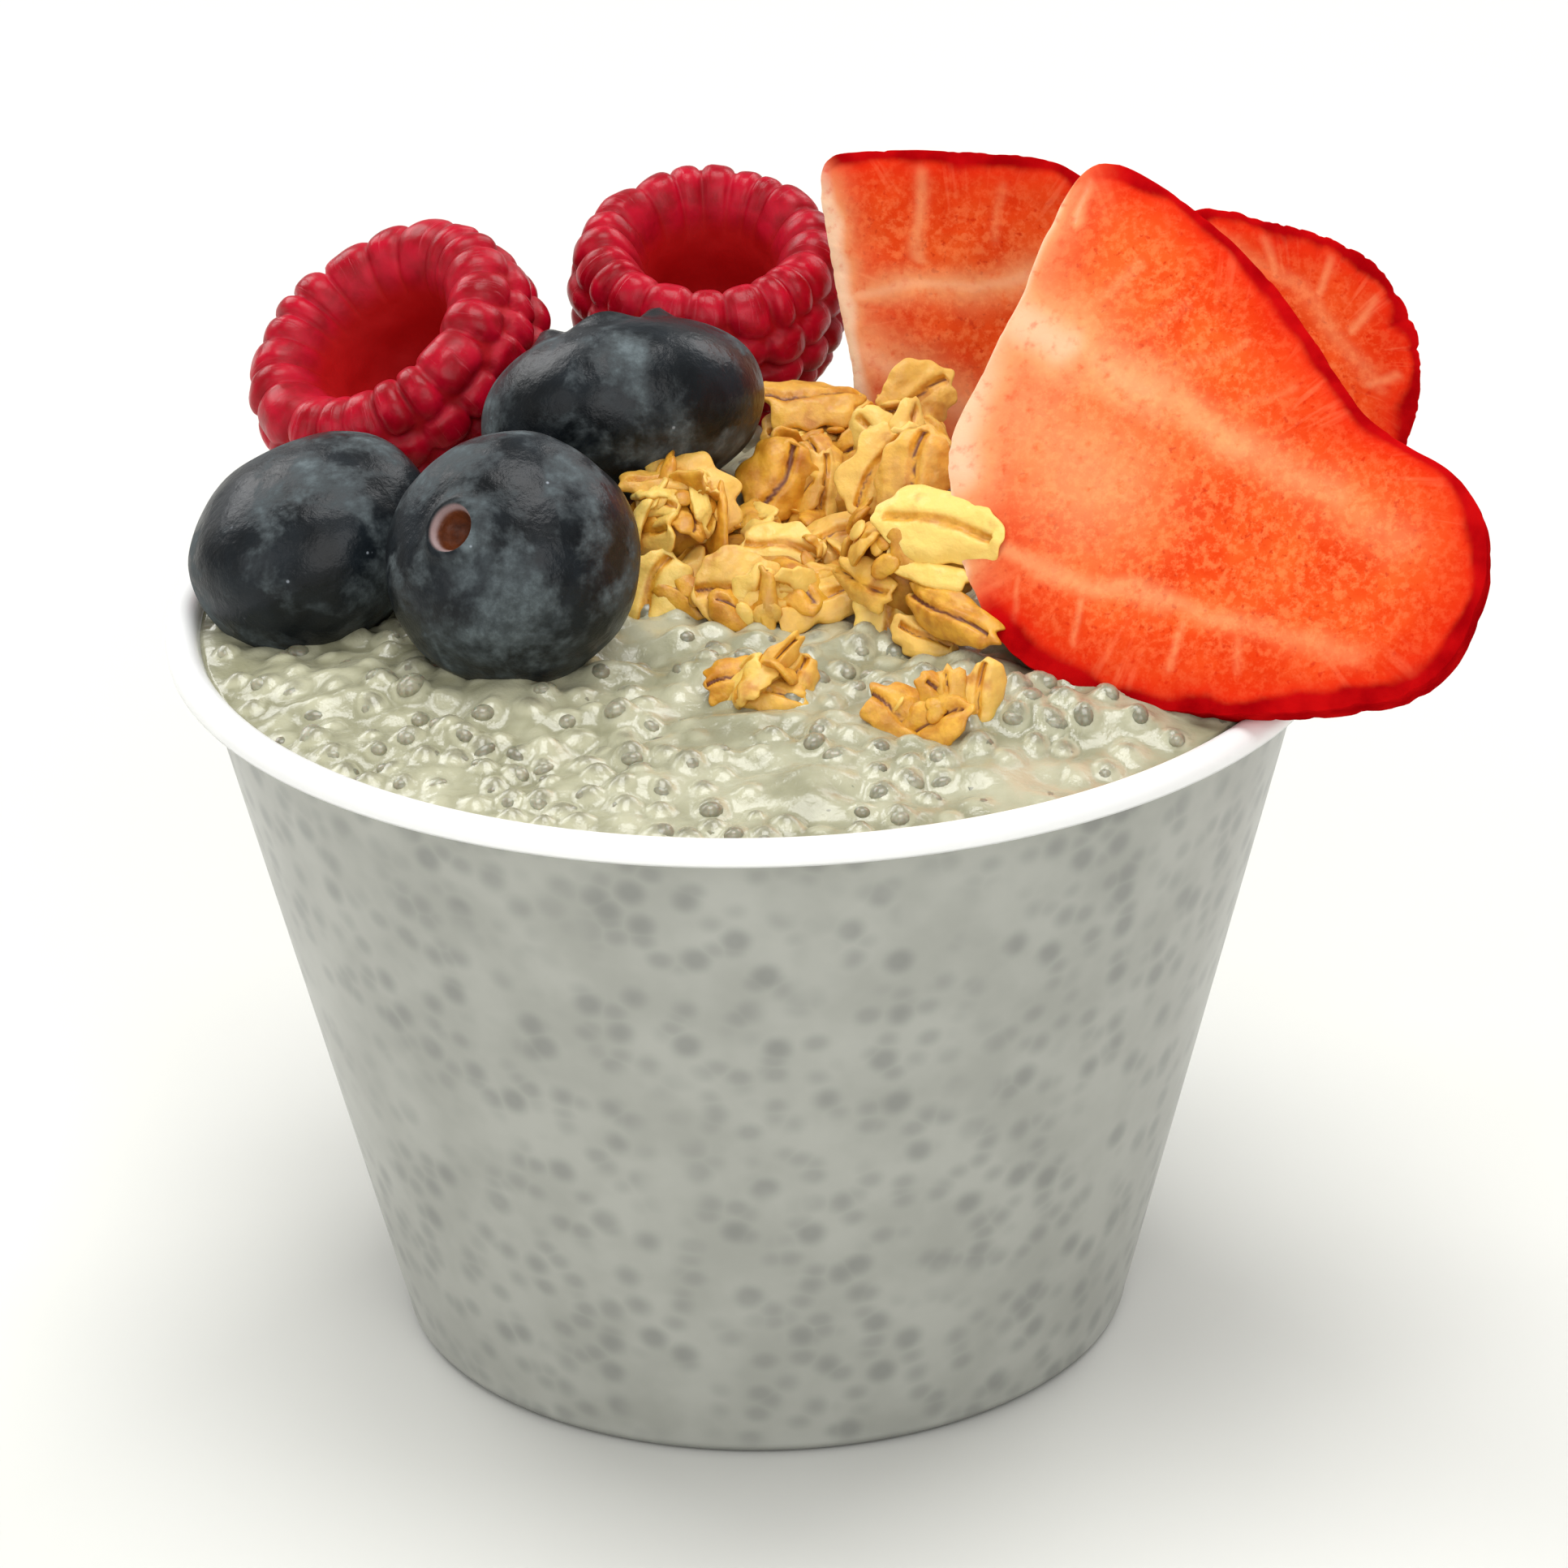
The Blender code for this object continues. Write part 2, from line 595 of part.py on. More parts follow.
def main():
    clear_scene()
    parts = new_collection("chia pudding cup")
    cutters = new_collection("cutters")
    build_cup(parts)
    pudding = build_pudding(parts, surface_block("pudding top", 0.0, cutters))

    toppings = [
        build_strawberry_piece(
            "strawberry_front", (27.8, -12.1, 61.25), 52, -22, FRONT_OUTLINE, 9.5, parts
        ),
        build_strawberry_piece(
            "strawberry_back_left", (14.1, 20.2, 60.8), 74, 0, BACK_LEFT_OUTLINE, 5.5, parts
        ),
        build_strawberry_piece(
            "strawberry_back_right", (35.2, 9.6, 60.5), 60, 0, BACK_RIGHT_OUTLINE, 5.0, parts
        ),
        build_raspberry(
            "raspberry_left", (-24.6, 21.4, 59.3), (-0.46, -0.33, 0.82), 0.0103, 0.0135,
            0.6, parts
        ),
        build_raspberry(
            "raspberry_right", (-2.7, 28.2, 62.3), (0.0, -0.28, 0.96), 0.0093, 0.0145,
            0.1, parts
        ),
        build_blueberry(
            "blueberry_left", (-28.05, 1.0, 53.0), (0.42, 0.1, -0.90), 0.0082, 0.0058, parts
        ),
        build_blueberry(
            "blueberry_front", (-14.9, -9.4, 55.8), (0.51, 0.63, -0.58), 0.0080, 0.0068, parts
        ),
        build_blueberry(
            "blueberry_back", (-8.4, 9.9, 57.9), (-0.2, 0.49, 0.84), 0.0092, 0.0057, parts
        ),
    ]
    seats = []
    for topping in toppings:
        press_into_cup(topping)
        seats.append(seat_cutter(topping, cutters))
        boolean(pudding, "DIFFERENCE", seats[-1], "MANIFOLD")
    apply_modifiers(pudding)
    tidy_mesh(pudding)

    raised_top = surface_block("raised pudding top", HEAP_GAP, cutters)
    build_granola("granola_heap", HEAP_FLAKES, HEAP_LUMPS, parts, (raised_top, seats[0]))
    build_granola(
        "granola_cluster_near", NEAR_CLUSTER_FLAKES, NEAR_CLUSTER_LUMPS, parts, (raised_top,)
    )
    build_granola(
        "granola_cluster_right", RIGHT_CLUSTER_FLAKES, RIGHT_CLUSTER_LUMPS, parts, (raised_top,)
    )


main()
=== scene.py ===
import math
import random

import bmesh
import bpy
import numpy as np
from mathutils import Euler, Matrix, Vector, noise
from mathutils.kdtree import KDTree


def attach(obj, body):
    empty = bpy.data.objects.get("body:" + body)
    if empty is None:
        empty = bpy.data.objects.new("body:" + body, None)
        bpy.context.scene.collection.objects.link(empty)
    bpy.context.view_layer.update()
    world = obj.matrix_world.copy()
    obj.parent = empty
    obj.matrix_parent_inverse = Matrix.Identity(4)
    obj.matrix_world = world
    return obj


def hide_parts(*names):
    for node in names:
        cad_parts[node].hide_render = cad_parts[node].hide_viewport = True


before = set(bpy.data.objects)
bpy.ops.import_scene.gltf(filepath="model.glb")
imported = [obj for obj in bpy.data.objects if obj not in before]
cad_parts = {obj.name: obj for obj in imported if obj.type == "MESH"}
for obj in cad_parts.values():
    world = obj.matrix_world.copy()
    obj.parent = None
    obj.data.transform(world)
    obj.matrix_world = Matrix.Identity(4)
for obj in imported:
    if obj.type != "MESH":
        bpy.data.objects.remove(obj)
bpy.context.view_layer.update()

# The cup
RIM_RADIUS = 37.5
RIM_TOP = 48.9
LIP_UNDERSIDE = 47.56
LIP_INNER_RADIUS = 35.4
WALL_TOP_RADIUS = 35.53
BASE_RADIUS = 23.58
WALL = 0.6
FLOOR = 0.8
BASE_CORNER = 0.8
FLOOR_SHARES = (0.0, 0.3, 0.6, 0.9)
INNER_WALL_START = 4.0
LIP_STEPS = 18
LIP_CURL = (0.12, 0.05)
LIP_EDGE = 0.5
LIP_ROOT = 0.25
LIP_TUCK = 0.02
INNER_WALL_ROWS = 10
OUTER_WALL_ROWS = 24
# Painted shade along the cup's base: its strength at the floor, and the height in millimetres over
# which it fades
FOOT_SHADE = 0.8
FOOT_SHADE_HEIGHT = 0.45
CUP_SEGMENTS = 192
SLOPE = (WALL_TOP_RADIUS - BASE_RADIUS) / LIP_UNDERSIDE

# The pudding
PUDDING_RADIUS = 35.3
PUDDING_CELLS = 232
PUDDING_SIDE_LEVELS = (44.0, 30.0, 15.0, 1.2)
PUDDING_INTO_WALL = 0.12
GEL_SINK = 0.25
EDGE_LEVEL = 48.0
CROWN_RISE = 1.6
LUMP_PITCH = 9.0
LUMP_RELIEF = 1.2
BANKS = (
    ((0.0, 14.0), (16.0, 9.0), 2.8),
    ((19.0, -16.0), (7.0, 5.0), 1.0),
    ((-6.0, -13.0), (9.0, 4.0), 0.6),
    ((22.0, -20.8), (5.0, 1.6), 1.2),
)
SEED_PITCH = 1.95
SEED_RADII = (0.95, 0.72, 0.6)
SEED_TRIES = 16000
SEED_EDGE_GAP = 0.9
SEED_GAP_LEAST = 0.72
SEED_GAP_SPREAD = 0.5
SEED_GAP_PITCH = 7
SEED_SINK = 0.34
CROWD_PITCH = 5.5
CROWD_MEAN = 0.9
CROWD_SWING = 1.6
DOME_REACH = 1.2
DOME_RISE = 0.7
RIDGE_PITCH = 3.2
RIDGE_RELIEF = 1.0
RIDGE_STRETCH = 1.5
# Heights at which the noise is cut, so that no two fields are alike
LUMP_CUT = 10.0
RIDGE_CUT = 30.0
SEED_GAP_CUT = 40.0
CROWD_CUT = 70.0

# The blueberries: name, centre, crown's direction, radius, half height, scar's reach, seed
BLUEBERRIES = (
    ("blueberry_left", (-28.05, 1.0, 53.0), (0.42, 0.1, -0.90), 8.2, 5.8, 0.0, 3),
    ("blueberry_front", (-14.9, -9.4, 55.8), (0.51, 0.63, -0.58), 8.0, 6.8, 0.14, 8),
    ("blueberry_back", (-8.4, 9.9, 57.9), (-0.2, 0.49, 0.84), 9.2, 5.7, 0.16, 13),
)
BLUEBERRY_SEGMENTS = 96
BLUEBERRY_RINGS = 64
# Their crowns: lobes, and angles from the crown's middle
CROWN_LOBES = 5
CROWN_RING = 0.36
CROWN_RING_WIDTH = 0.09
CROWN_HOLLOW = 0.26
CROWN_SHADE = 0.48

# The raspberries: name, centre, opening's direction, radius, height, spin, seed
RASPBERRIES = (
    ("raspberry_left", (-24.6, 21.4, 59.3), (-0.46, -0.33, 0.82), 10.3, 13.5, 0.6, 4),
    ("raspberry_right", (-2.7, 28.2, 62.3), (0.0, -0.28, 0.96), 9.3, 14.5, 0.1, 9),
)
RASPBERRY_SEGMENTS = 240
RASPBERRY_RINGS = 130
# From the hollow's bottom over the rim to the tip, in shares of the radius and the height
RASPBERRY_PROFILE = (
    (0.0, -0.62), (0.26, -0.58), (0.40, -0.42), (0.45, -0.2), (0.54, -0.02), (0.68, 0.07),
    (0.82, 0.06), (0.93, -0.02), (0.96, -0.14), (0.95, -0.32), (0.86, -0.52), (0.68, -0.74),
    (0.4, -0.92), (0.0, -0.98),
)
RIM_SHARES = (0.46, 0.955)
RIM_DRUPELETS = 20
SIDE_ROWS = 6.6
DRUPELET_PITCH = 2.9
DRUPELET_RELIEF = 0.85
FEWEST_IN_A_ROW = 6

# Oat flakes: X, Y, Z, length, width, lean from flat, turn, heading
HEAP_FLAKES = (
    (4.0, 15.5, 56.7, 7.4, 4.8, 12, 3, 0),
    (10.8, 13.3, 57.4, 5.4, 4.6, 65, 20, 10),
    (6.8, 14.6, 55.6, 4.4, 3.4, 35, -20, 0),
    (2.8, 15.0, 54.8, 4.4, 3.4, 30, 15, 0),
    (-3.8, 1.0, 55.6, 6.6, 5.4, 58, -35, -10),
    (1.7, 6.6, 54.4, 6.0, 4.8, 62, 60, 5),
    (4.6, 7.0, 53.6, 5.4, 2.6, 60, 80, 15),
    (-7.2, 1.3, 52.8, 3.8, 3.0, 30, 0, 0),
    (1.8, -0.4, 52.6, 5.6, 4.0, 40, -15, 0),
    (5.3, 0.6, 52.9, 5.2, 4.0, 35, 20, 0),
    (-6.4, -4.0, 51.4, 5.6, 4.4, 60, 70, -15),
    (-1.2, -5.2, 51.9, 5.8, 5.2, 60, 10, 0),
    (4.0, -5.3, 51.2, 6.4, 3.8, 35, 20, 0),
    (7.9, 0.2, 57.6, 6.4, 4.4, 60, 55, 10),
    (10.2, -2.4, 58.6, 6.0, 4.8, 62, 75, -10),
    (11.6, -8.4, 57.3, 9.0, 5.0, 50, -4, -25),
    (11.3, -9.0, 54.9, 7.4, 3.4, 12, -4, -25),
    (12.0, -12.2, 52.9, 7.8, 3.0, 50, -12, -38),
    (8.5, -8.2, 51.2, 5.4, 4.2, 55, 70, 0),
    (10.6, -10.8, 50.8, 4.2, 2.8, 40, -30, 0),
    (-5.8, 0.7, 56.9, 5.0, 2.2, 8, 0, 0),
)
# The rounded cores that a heap's loose flakes lie on: centre and reach
HEAP_LUMPS = (
    ((0.0, 1.0, 50.5), (7.6, 8.5, 2.8)),
    ((5.5, 11.0, 52.5), (5.5, 6.0, 3.0)),
    ((9.5, 11.8, 54.0), (3.2, 3.4, 3.4)),
    ((9.6, -4.0, 52.4), (4.2, 6.4, 5.0)),
    ((-4.8, 0.4, 54.0), (3.2, 2.2, 3.0)),
)
NEAR_CLUSTER_FLAKES = (
    (1.0, -17.2, 51.6, 5.6, 1.8, 60, 48, 0),
    (-1.5, -16.8, 50.8, 3.6, 3.2, 50, 20, 0),
    (2.4, -17.0, 50.8, 3.8, 3.2, 55, 60, 10),
    (1.2, -18.0, 50.2, 4.4, 2.8, 40, -10, 0),
)
NEAR_CLUSTER_LUMPS = (((0.7, -16.6, 50.2), (2.4, 1.8, 1.4)),)
RIGHT_CLUSTER_FLAKES = (
    (8.8, -21.4, 50.2, 5.2, 3.8, 50, -35, 0),
    (12.2, -21.8, 50.4, 6.2, 3.0, 60, -55, 10),
    (13.6, -21.4, 51.0, 5.6, 2.8, 65, 80, -10),
)
RIGHT_CLUSTER_LUMPS = (((11.2, -21.0, 49.9), (3.2, 1.6, 1.2)),)
# Name, flakes, cores, how many loose flakes and crumbs, seed
GRANOLA = (
    ("granola_heap", HEAP_FLAKES, HEAP_LUMPS, 84, 60, 7),
    ("granola_cluster_near", NEAR_CLUSTER_FLAKES, NEAR_CLUSTER_LUMPS, 3, 6, 8),
    ("granola_cluster_right", RIGHT_CLUSTER_FLAKES, RIGHT_CLUSTER_LUMPS, 3, 6, 9),
)
CORE_SHARE = 0.74
# The cores' tone, low so that they show dark brown: painted shade in the gaps between flakes
CORE_SHADE_TONE = 0.2

# The strawberry pieces, a little smaller than the solids' outline to stay inside their box
SLICE_FIT = 0.984
SLICE_SEGMENTS = 340
SLICE_RINGS = 116
SLICE_EDGE = 0.6
ACHENE_PITCH = 3.0
ACHENE_SIZE = (0.7, 0.46, 0.3)
ACHENE_SINK = 0.12
ACHENE_TRIES = 1500

# Cut faces of the strawberry in their own plane: X along the face, Y up it
FRONT_OUTLINE = (
    (-12.3, 19.6), (-6.8, 19.1), (1.6, 13.6), (8.6, 6.5), (11.8, 4.5), (16.4, 2.3),
    (18.9, -2.2), (17.8, -9.0), (13.4, -12.4), (1.6, -14.6), (-8.7, -13.2),
    (-13.4, -9.0), (-16.0, -3.8), (-17.2, 1.0), (-15.0, 9.8),
)
BACK_LEFT_OUTLINE = (
    (-9.4, 9.3), (-6.7, 10.5), (0.7, 10.3), (7.0, 9.2), (11.5, 4.5), (12.0, -3.0),
    (8.0, -9.5), (-1.0, -12.0), (-6.8, -9.5), (-7.6, -4.0), (-8.8, 2.8),
)
BACK_RIGHT_OUTLINE = (
    (-6.0, 10.7), (-1.8, 9.8), (2.8, 8.3), (5.4, 6.5), (7.4, 3.6), (8.1, -0.1),
    (7.1, -5.1), (3.0, -10.5), (-4.0, -14.2), (-9.0, -9.0), (-10.0, 0.0), (-8.6, 7.5),
)
# Pale lines on the cut faces: points, half width, strength
FRONT_LINES = (
    (((-15.0, 8.8), (-9.5, 7.4), (-4.5, 5.2)), 2.1, 0.62),
    (((-5.5, 5.7), (-2.9, 4.6), (2.0, 2.6)), 1.2, 0.55),
    (((2.0, 2.6), (5.5, 1.3), (8.5, 0.2)), 1.2, 0.4),
    (((8.0, 0.4), (13.0, -1.8)), 1.6, 0.26),
    (((-13.0, -5.6), (-7.0, -7.0), (-1.0, -7.8)), 0.7, 0.5),
    (((-1.0, -7.8), (4.0, -8.4)), 0.6, 0.42),
    (((4.0, -8.4), (7.6, -8.9), (11.6, -9.2)), 0.7, 0.28),
    (((-16.0, 10.4), (-16.8, 4.0), (-16.4, -1.0)), 4.0, 0.85),
    (((-15.0, 9.4), (-11.0, 7.6)), 3.2, 0.8),
    (((-13.0, 3.0), (-7.0, -1.0)), 4.5, 0.45),
    (((-11.8, 18.4), (-11.9, 15.6)), 0.5, 0.7),
    (((-12.6, 18.0), (-14.6, 11.0)), 1.0, 0.6),
    (((-10.4, -7.4), (-10.7, -10.2)), 0.22, 0.3),
    (((-6.0, -8.0), (-6.2, -11.0)), 0.22, 0.35),
    (((0.6, -9.0), (0.4, -12.0)), 0.24, 0.35),
    (((4.4, -9.4), (4.9, -11.4)), 0.2, 0.25),
    (((-9.6, 10.4), (-7.2, 13.4)), 0.45, 0.3),
    (((-5.9, 9.2), (-3.2, 11.4)), 0.3, 0.22),
    (((-3.0, 7.0), (0.6, 9.2)), 0.3, 0.25),
    (((1.6, 5.4), (4.6, 6.6)), 0.26, 0.18),
)
BACK_LEFT_LINES = (
    (((-9.3, 9.2), (-8.3, 2.8), (-7.2, -4.0), (-6.6, -9.0)), 1.3, 0.95),
    (((-7.6, 1.0), (-4.0, 1.4), (0.6, 1.2), (5.0, 2.0)), 1.1, 0.7),
    (((-7.4, -2.4), (-3.0, -4.4), (0.0, -7.4)), 1.9, 0.7),
    (((-2.7, 8.8), (-2.9, 3.4)), 0.5, 0.5),
    (((2.6, 8.0), (2.2, 4.4)), 0.35, 0.2),
)
BACK_RIGHT_LINES = (
    (((-5.0, 8.4), (0.0, 5.2), (5.0, -1.4)), 0.6, 0.25),
    (((-2.0, 8.2), (-1.2, 5.8)), 0.3, 0.4),
    (((2.4, 6.8), (1.4, 4.4)), 0.3, 0.4),
    (((5.2, 4.2), (3.6, 2.4)), 0.3, 0.4),
    (((6.6, -0.6), (4.4, -1.4)), 0.3, 0.4),
)

# Name, spot, leaning back, heading, outline, depth, pale lines, bare angles, raggedness, seed
SLICES = (
    (
        "strawberry_front", (27.8, -12.1, 61.25), 52, -22, FRONT_OUTLINE, 9.5, FRONT_LINES,
        (122, 214), 0.008, 2,
    ),
    (
        "strawberry_back_left", (14.1, 20.2, 60.8), 74, 0, BACK_LEFT_OUTLINE, 5.5,
        BACK_LEFT_LINES, (135, 250), 0.008, 6,
    ),
    (
        "strawberry_back_right", (35.2, 9.6, 60.5), 60, 0, BACK_RIGHT_OUTLINE, 5.0,
        BACK_RIGHT_LINES, (200, 235), 0.022, 11,
    ),
)

# Area lights in metres and watts: name, place, target, size, power
LIGHTS = (
    ("back left key", (-0.5, 0.6, 0.5), (0, 0.1, 0.0), 0.5, 2.8),
    ("back right key", (0.5, 0.6, 0.55), (0, 0.1, 0.0), 0.5, 2.6),
    ("overhead", (0.0, 0.0, 0.8), (0, 0, 0.04), 0.45, 3.9),
    ("left fill", (-0.6, -0.4, 0.35), (0, 0, 0.04), 0.5, 1.0),
    ("front fill", (0.15, -0.9, 0.55), (0, 0, 0.0), 0.8, 5.0),
)
WORLD_STRENGTH = 0.34

# The camera, in millimetres and degrees
CAMERA_PLACE = (1.684, -439.685, 235.128)
CAMERA_DOWN = 24.368
CAMERA_ROLL = -1.02
CAMERA_LENS = 172.04
CAMERA_SENSOR = 36.0


def rgb(red, green, blue):
    """A screen colour from 0 to 255 as the linear colour that shaders take."""
    linear = []
    for value in (red, green, blue):
        share = value / 255
        linear.append(share / 12.92 if share <= 0.04045 else ((share + 0.055) / 1.055) ** 2.4)
    return (*linear, 1.0)


class Paint:
    """A material's nodes, with one short call for each kind of node."""

    def __init__(self, name, **settings):
        self.material = bpy.data.materials.new(name)
        self.material.use_nodes = True
        self.tree = self.material.node_tree
        self.shader = self.tree.nodes["Principled BSDF"]
        for socket, value in settings.items():
            self.shader.inputs[socket.replace("_", " ")].default_value = value
        self.place = self.tree.nodes.new("ShaderNodeTexCoord").outputs["Object"]

    def node(self, kind, inputs=(), **settings):
        node = self.tree.nodes.new(kind)
        for key, value in settings.items():
            setattr(node, key, value)
        for socket, value in dict(inputs).items():
            self.put(value, node.inputs[socket])
        return node

    def put(self, value, socket):
        if isinstance(value, bpy.types.NodeSocket):
            self.tree.links.new(value, socket)
        else:
            socket.default_value = value

    def noise(self, size, detail=3.0, vector=None, roughness=0.55, distortion=0.0):
        """Soft noise with features of a size in metres."""
        inputs = {
            "Vector": vector or self.place, "Scale": 1 / size, "Detail": detail,
            "Roughness": roughness, "Distortion": distortion,
        }
        return self.node("ShaderNodeTexNoise", inputs).outputs["Fac"]

    def cells(self, size, randomness=1.0, vector=None):
        """Distance to the nearest of many scattered points, with a pitch in metres."""
        inputs = {"Vector": vector or self.place, "Scale": 1 / size, "Randomness": randomness}
        return self.node("ShaderNodeTexVoronoi", inputs).outputs["Distance"]

    def value(self, name):
        return self.node("ShaderNodeAttribute", attribute_name=name).outputs["Fac"]

    def vector(self, name):
        return self.node("ShaderNodeAttribute", attribute_name=name).outputs["Vector"]

    def stretch(self, vector, x, y, z):
        inputs = {"Vector": vector, "Scale": (x, y, z)}
        return self.node("ShaderNodeMapping", inputs).outputs["Vector"]

    def math(self, operation, first, second, clamp=False):
        inputs = {0: first, 1: second}
        return self.node("ShaderNodeMath", inputs, operation=operation, use_clamp=clamp).outputs[0]

    def times(self, first, second):
        return self.math("MULTIPLY", first, second)

    def fade(self, value, start, end):
        """0 where the value is at start, 1 where it is at end."""
        inputs = {"Value": value, "From Min": start, "From Max": end}
        return self.node("ShaderNodeMapRange", inputs, interpolation_type="SMOOTHSTEP").outputs[0]

    def mix(self, factor, first, second):
        """The first colour where the factor is 0, the second where it is 1."""
        inputs = {"Factor": factor, 6: first, 7: second}
        return self.node("ShaderNodeMix", inputs, data_type="RGBA").outputs[2]

    def colour(self, value):
        self.put(value, self.shader.inputs["Base Color"])

    def roughness(self, value):
        self.put(value, self.shader.inputs["Roughness"])

    def bump(self, height, distance, strength=1.0):
        """Relief of a distance in metres; calls add up."""
        inputs = {"Height": height, "Distance": distance, "Strength": strength}
        node = self.node("ShaderNodeBump", inputs)
        before = self.shader.inputs["Normal"].links
        if before:
            self.put(before[0].from_socket, node.inputs["Normal"])
        self.put(node.outputs["Normal"], self.shader.inputs["Normal"])


def set_values(mesh, name, values):
    """A number or a vector for each point, which materials read by its name."""
    array = np.asarray(values, dtype=np.float32)
    kind, field = ("FLOAT", "value") if array.ndim == 1 else ("FLOAT_VECTOR", "vector")
    mesh.attributes.new(name, kind, "POINT").data.foreach_set(field, array.ravel())


def finished_piece(name, mesh, slot, *nodes):
    """Puts a mesh in the scene as a piece that rides on the root in place of these nodes."""
    obj = bpy.data.objects.new(name, mesh)
    bpy.context.scene.collection.objects.link(obj)
    mesh.shade_smooth()
    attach(obj, "root")
    if nodes:
        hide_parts(*nodes)


def mesh_from(name, points, faces, material):
    """A mesh from points in millimetres."""
    mesh = bpy.data.meshes.new(name)
    mesh.from_pydata((np.asarray(points) * 0.001).tolist(), [], faces)
    mesh.materials.append(material)
    return mesh


def ball(subdivisions):
    """Points and triangles of a unit sphere."""
    bm = bmesh.new()
    bmesh.ops.create_icosphere(bm, subdivisions=subdivisions, radius=1.0)
    points = np.array([vert.co[:] for vert in bm.verts])
    faces = [[vert.index for vert in face.verts] for face in bm.faces]
    bm.free()
    return points, faces


class Heap:
    """Gathers many small closed forms and their tones into a single mesh."""

    def __init__(self):
        self.points = []
        self.faces = []
        self.tones = []
        self.count = 0

    def add(self, points, faces, tone):
        self.points.append(points)
        self.faces.extend([[index + self.count for index in face] for face in faces])
        self.tones.append(np.broadcast_to(np.asarray(tone, dtype=float), len(points)))
        self.count += len(points)

    def mesh(self, name, material):
        mesh = mesh_from(name, np.vstack(self.points), self.faces, material)
        set_values(mesh, "tone", np.concatenate(self.tones))
        return mesh


def globe(segments, rings):
    """Longitudes, polar angles and faces of a sphere with poles."""
    longitudes = [0.0]
    polars = [0.0]
    for ring in range(1, rings):
        for segment in range(segments):
            longitudes.append(2 * math.pi * segment / segments)
            polars.append(math.pi * ring / rings)
    longitudes.append(0.0)
    polars.append(math.pi)
    faces = []
    last = len(polars) - 1
    for segment in range(segments):
        after = (segment + 1) % segments
        faces.append((0, 1 + segment, 1 + after))
        faces.append((last, last - segments + after, last - segments + segment))
        for ring in range(rings - 2):
            row = 1 + ring * segments
            below = row + segments
            faces.append((row + segment, below + segment, below + after, row + after))
    return np.array(longitudes), np.array(polars), faces


def light_ball(segments, rings):
    """Points and faces of a unit sphere in rings round Z, for small things that are many."""
    longitudes, polars, faces = globe(segments, rings)
    flat = np.sin(polars)
    points = np.stack([flat * np.cos(longitudes), flat * np.sin(longitudes), np.cos(polars)], axis=1)
    return points, faces


def unevenness(points, size, seed):
    """Smooth noise from -1 to 1 at each point, with features of a size in millimetres."""
    shift = Vector((seed * 7.31, seed * 3.17, seed * 1.93))
    return np.array([noise.noise(Vector(point) / size + shift) for point in points])


def round_noise(angles, seed, waves):
    """Noise from -1 to 1 that closes on itself after a whole turn."""
    return np.array(
        [noise.noise(Vector((math.cos(angle), math.sin(angle), seed)) * waves) for angle in angles]
    )


def place(points, matrix):
    """Points moved by a matrix whose shift is in millimetres."""
    array = np.array(matrix)
    return points @ array[:3, :3].T + array[:3, 3]


def stand_along(centre, direction, spin=0.0):
    turn = Vector(direction).to_track_quat("Z", "Y").to_matrix().to_4x4()
    return Matrix.Translation(centre) @ turn @ Matrix.Rotation(spin, 4, "Z")


def lean_back(centre, lean, heading, turn=0.0):
    heading_matrix = Euler((0, 0, math.radians(heading))).to_matrix().to_4x4()
    lean_matrix = Euler((math.radians(lean), 0, 0)).to_matrix().to_4x4()
    turn_matrix = Euler((0, 0, math.radians(turn))).to_matrix().to_4x4()
    return Matrix.Translation(centre) @ heading_matrix @ lean_matrix @ turn_matrix


def arc(centre, radius, start, end, steps):
    angles = np.radians(np.linspace(start, end, steps + 1))
    return [(centre[0] + radius * math.cos(a), centre[1] + radius * math.sin(a)) for a in angles]


def cup_radius(height):
    return BASE_RADIUS + SLOPE * height


def cup_plastic():
    """Hazy plastic that shows the seeds pressed against its inside as soft dots."""
    paint = Paint(
        "cup plastic", Roughness=0.32, Subsurface_Weight=0.12, Subsurface_Scale=0.002,
        Subsurface_Radius=(1.0, 1.0, 1.0),
    )
    near = paint.fade(paint.cells(0.0027, randomness=0.9), 0.52, 0.12)
    turned = paint.stretch(paint.place, -1.0, 1.1, 1.2)
    further = paint.fade(paint.cells(0.0025, randomness=0.9, vector=turned), 0.5, 0.1)
    further = paint.times(further, 0.7)
    crowd = paint.fade(paint.noise(0.010, 2.0), 0.30, 0.50)
    dots = paint.times(paint.math("MAXIMUM", near, further), crowd)
    cloud = paint.fade(paint.noise(0.006), 0.3, 0.7)
    wall = paint.mix(cloud, rgb(158, 159, 151), rgb(171, 172, 164))
    wall = paint.mix(paint.times(dots, 0.56), wall, rgb(112, 114, 110))
    # Painted shade: the wall darkens to grey just above the floor, where the base meets it
    wall = paint.mix(paint.value("painted_foot_shade"), wall, rgb(104, 105, 100))
    paint.colour(paint.mix(paint.value("lip"), wall, rgb(246, 246, 244)))
    paint.bump(paint.noise(0.009, 1.0), 0.00008, 0.4)
    return paint.material


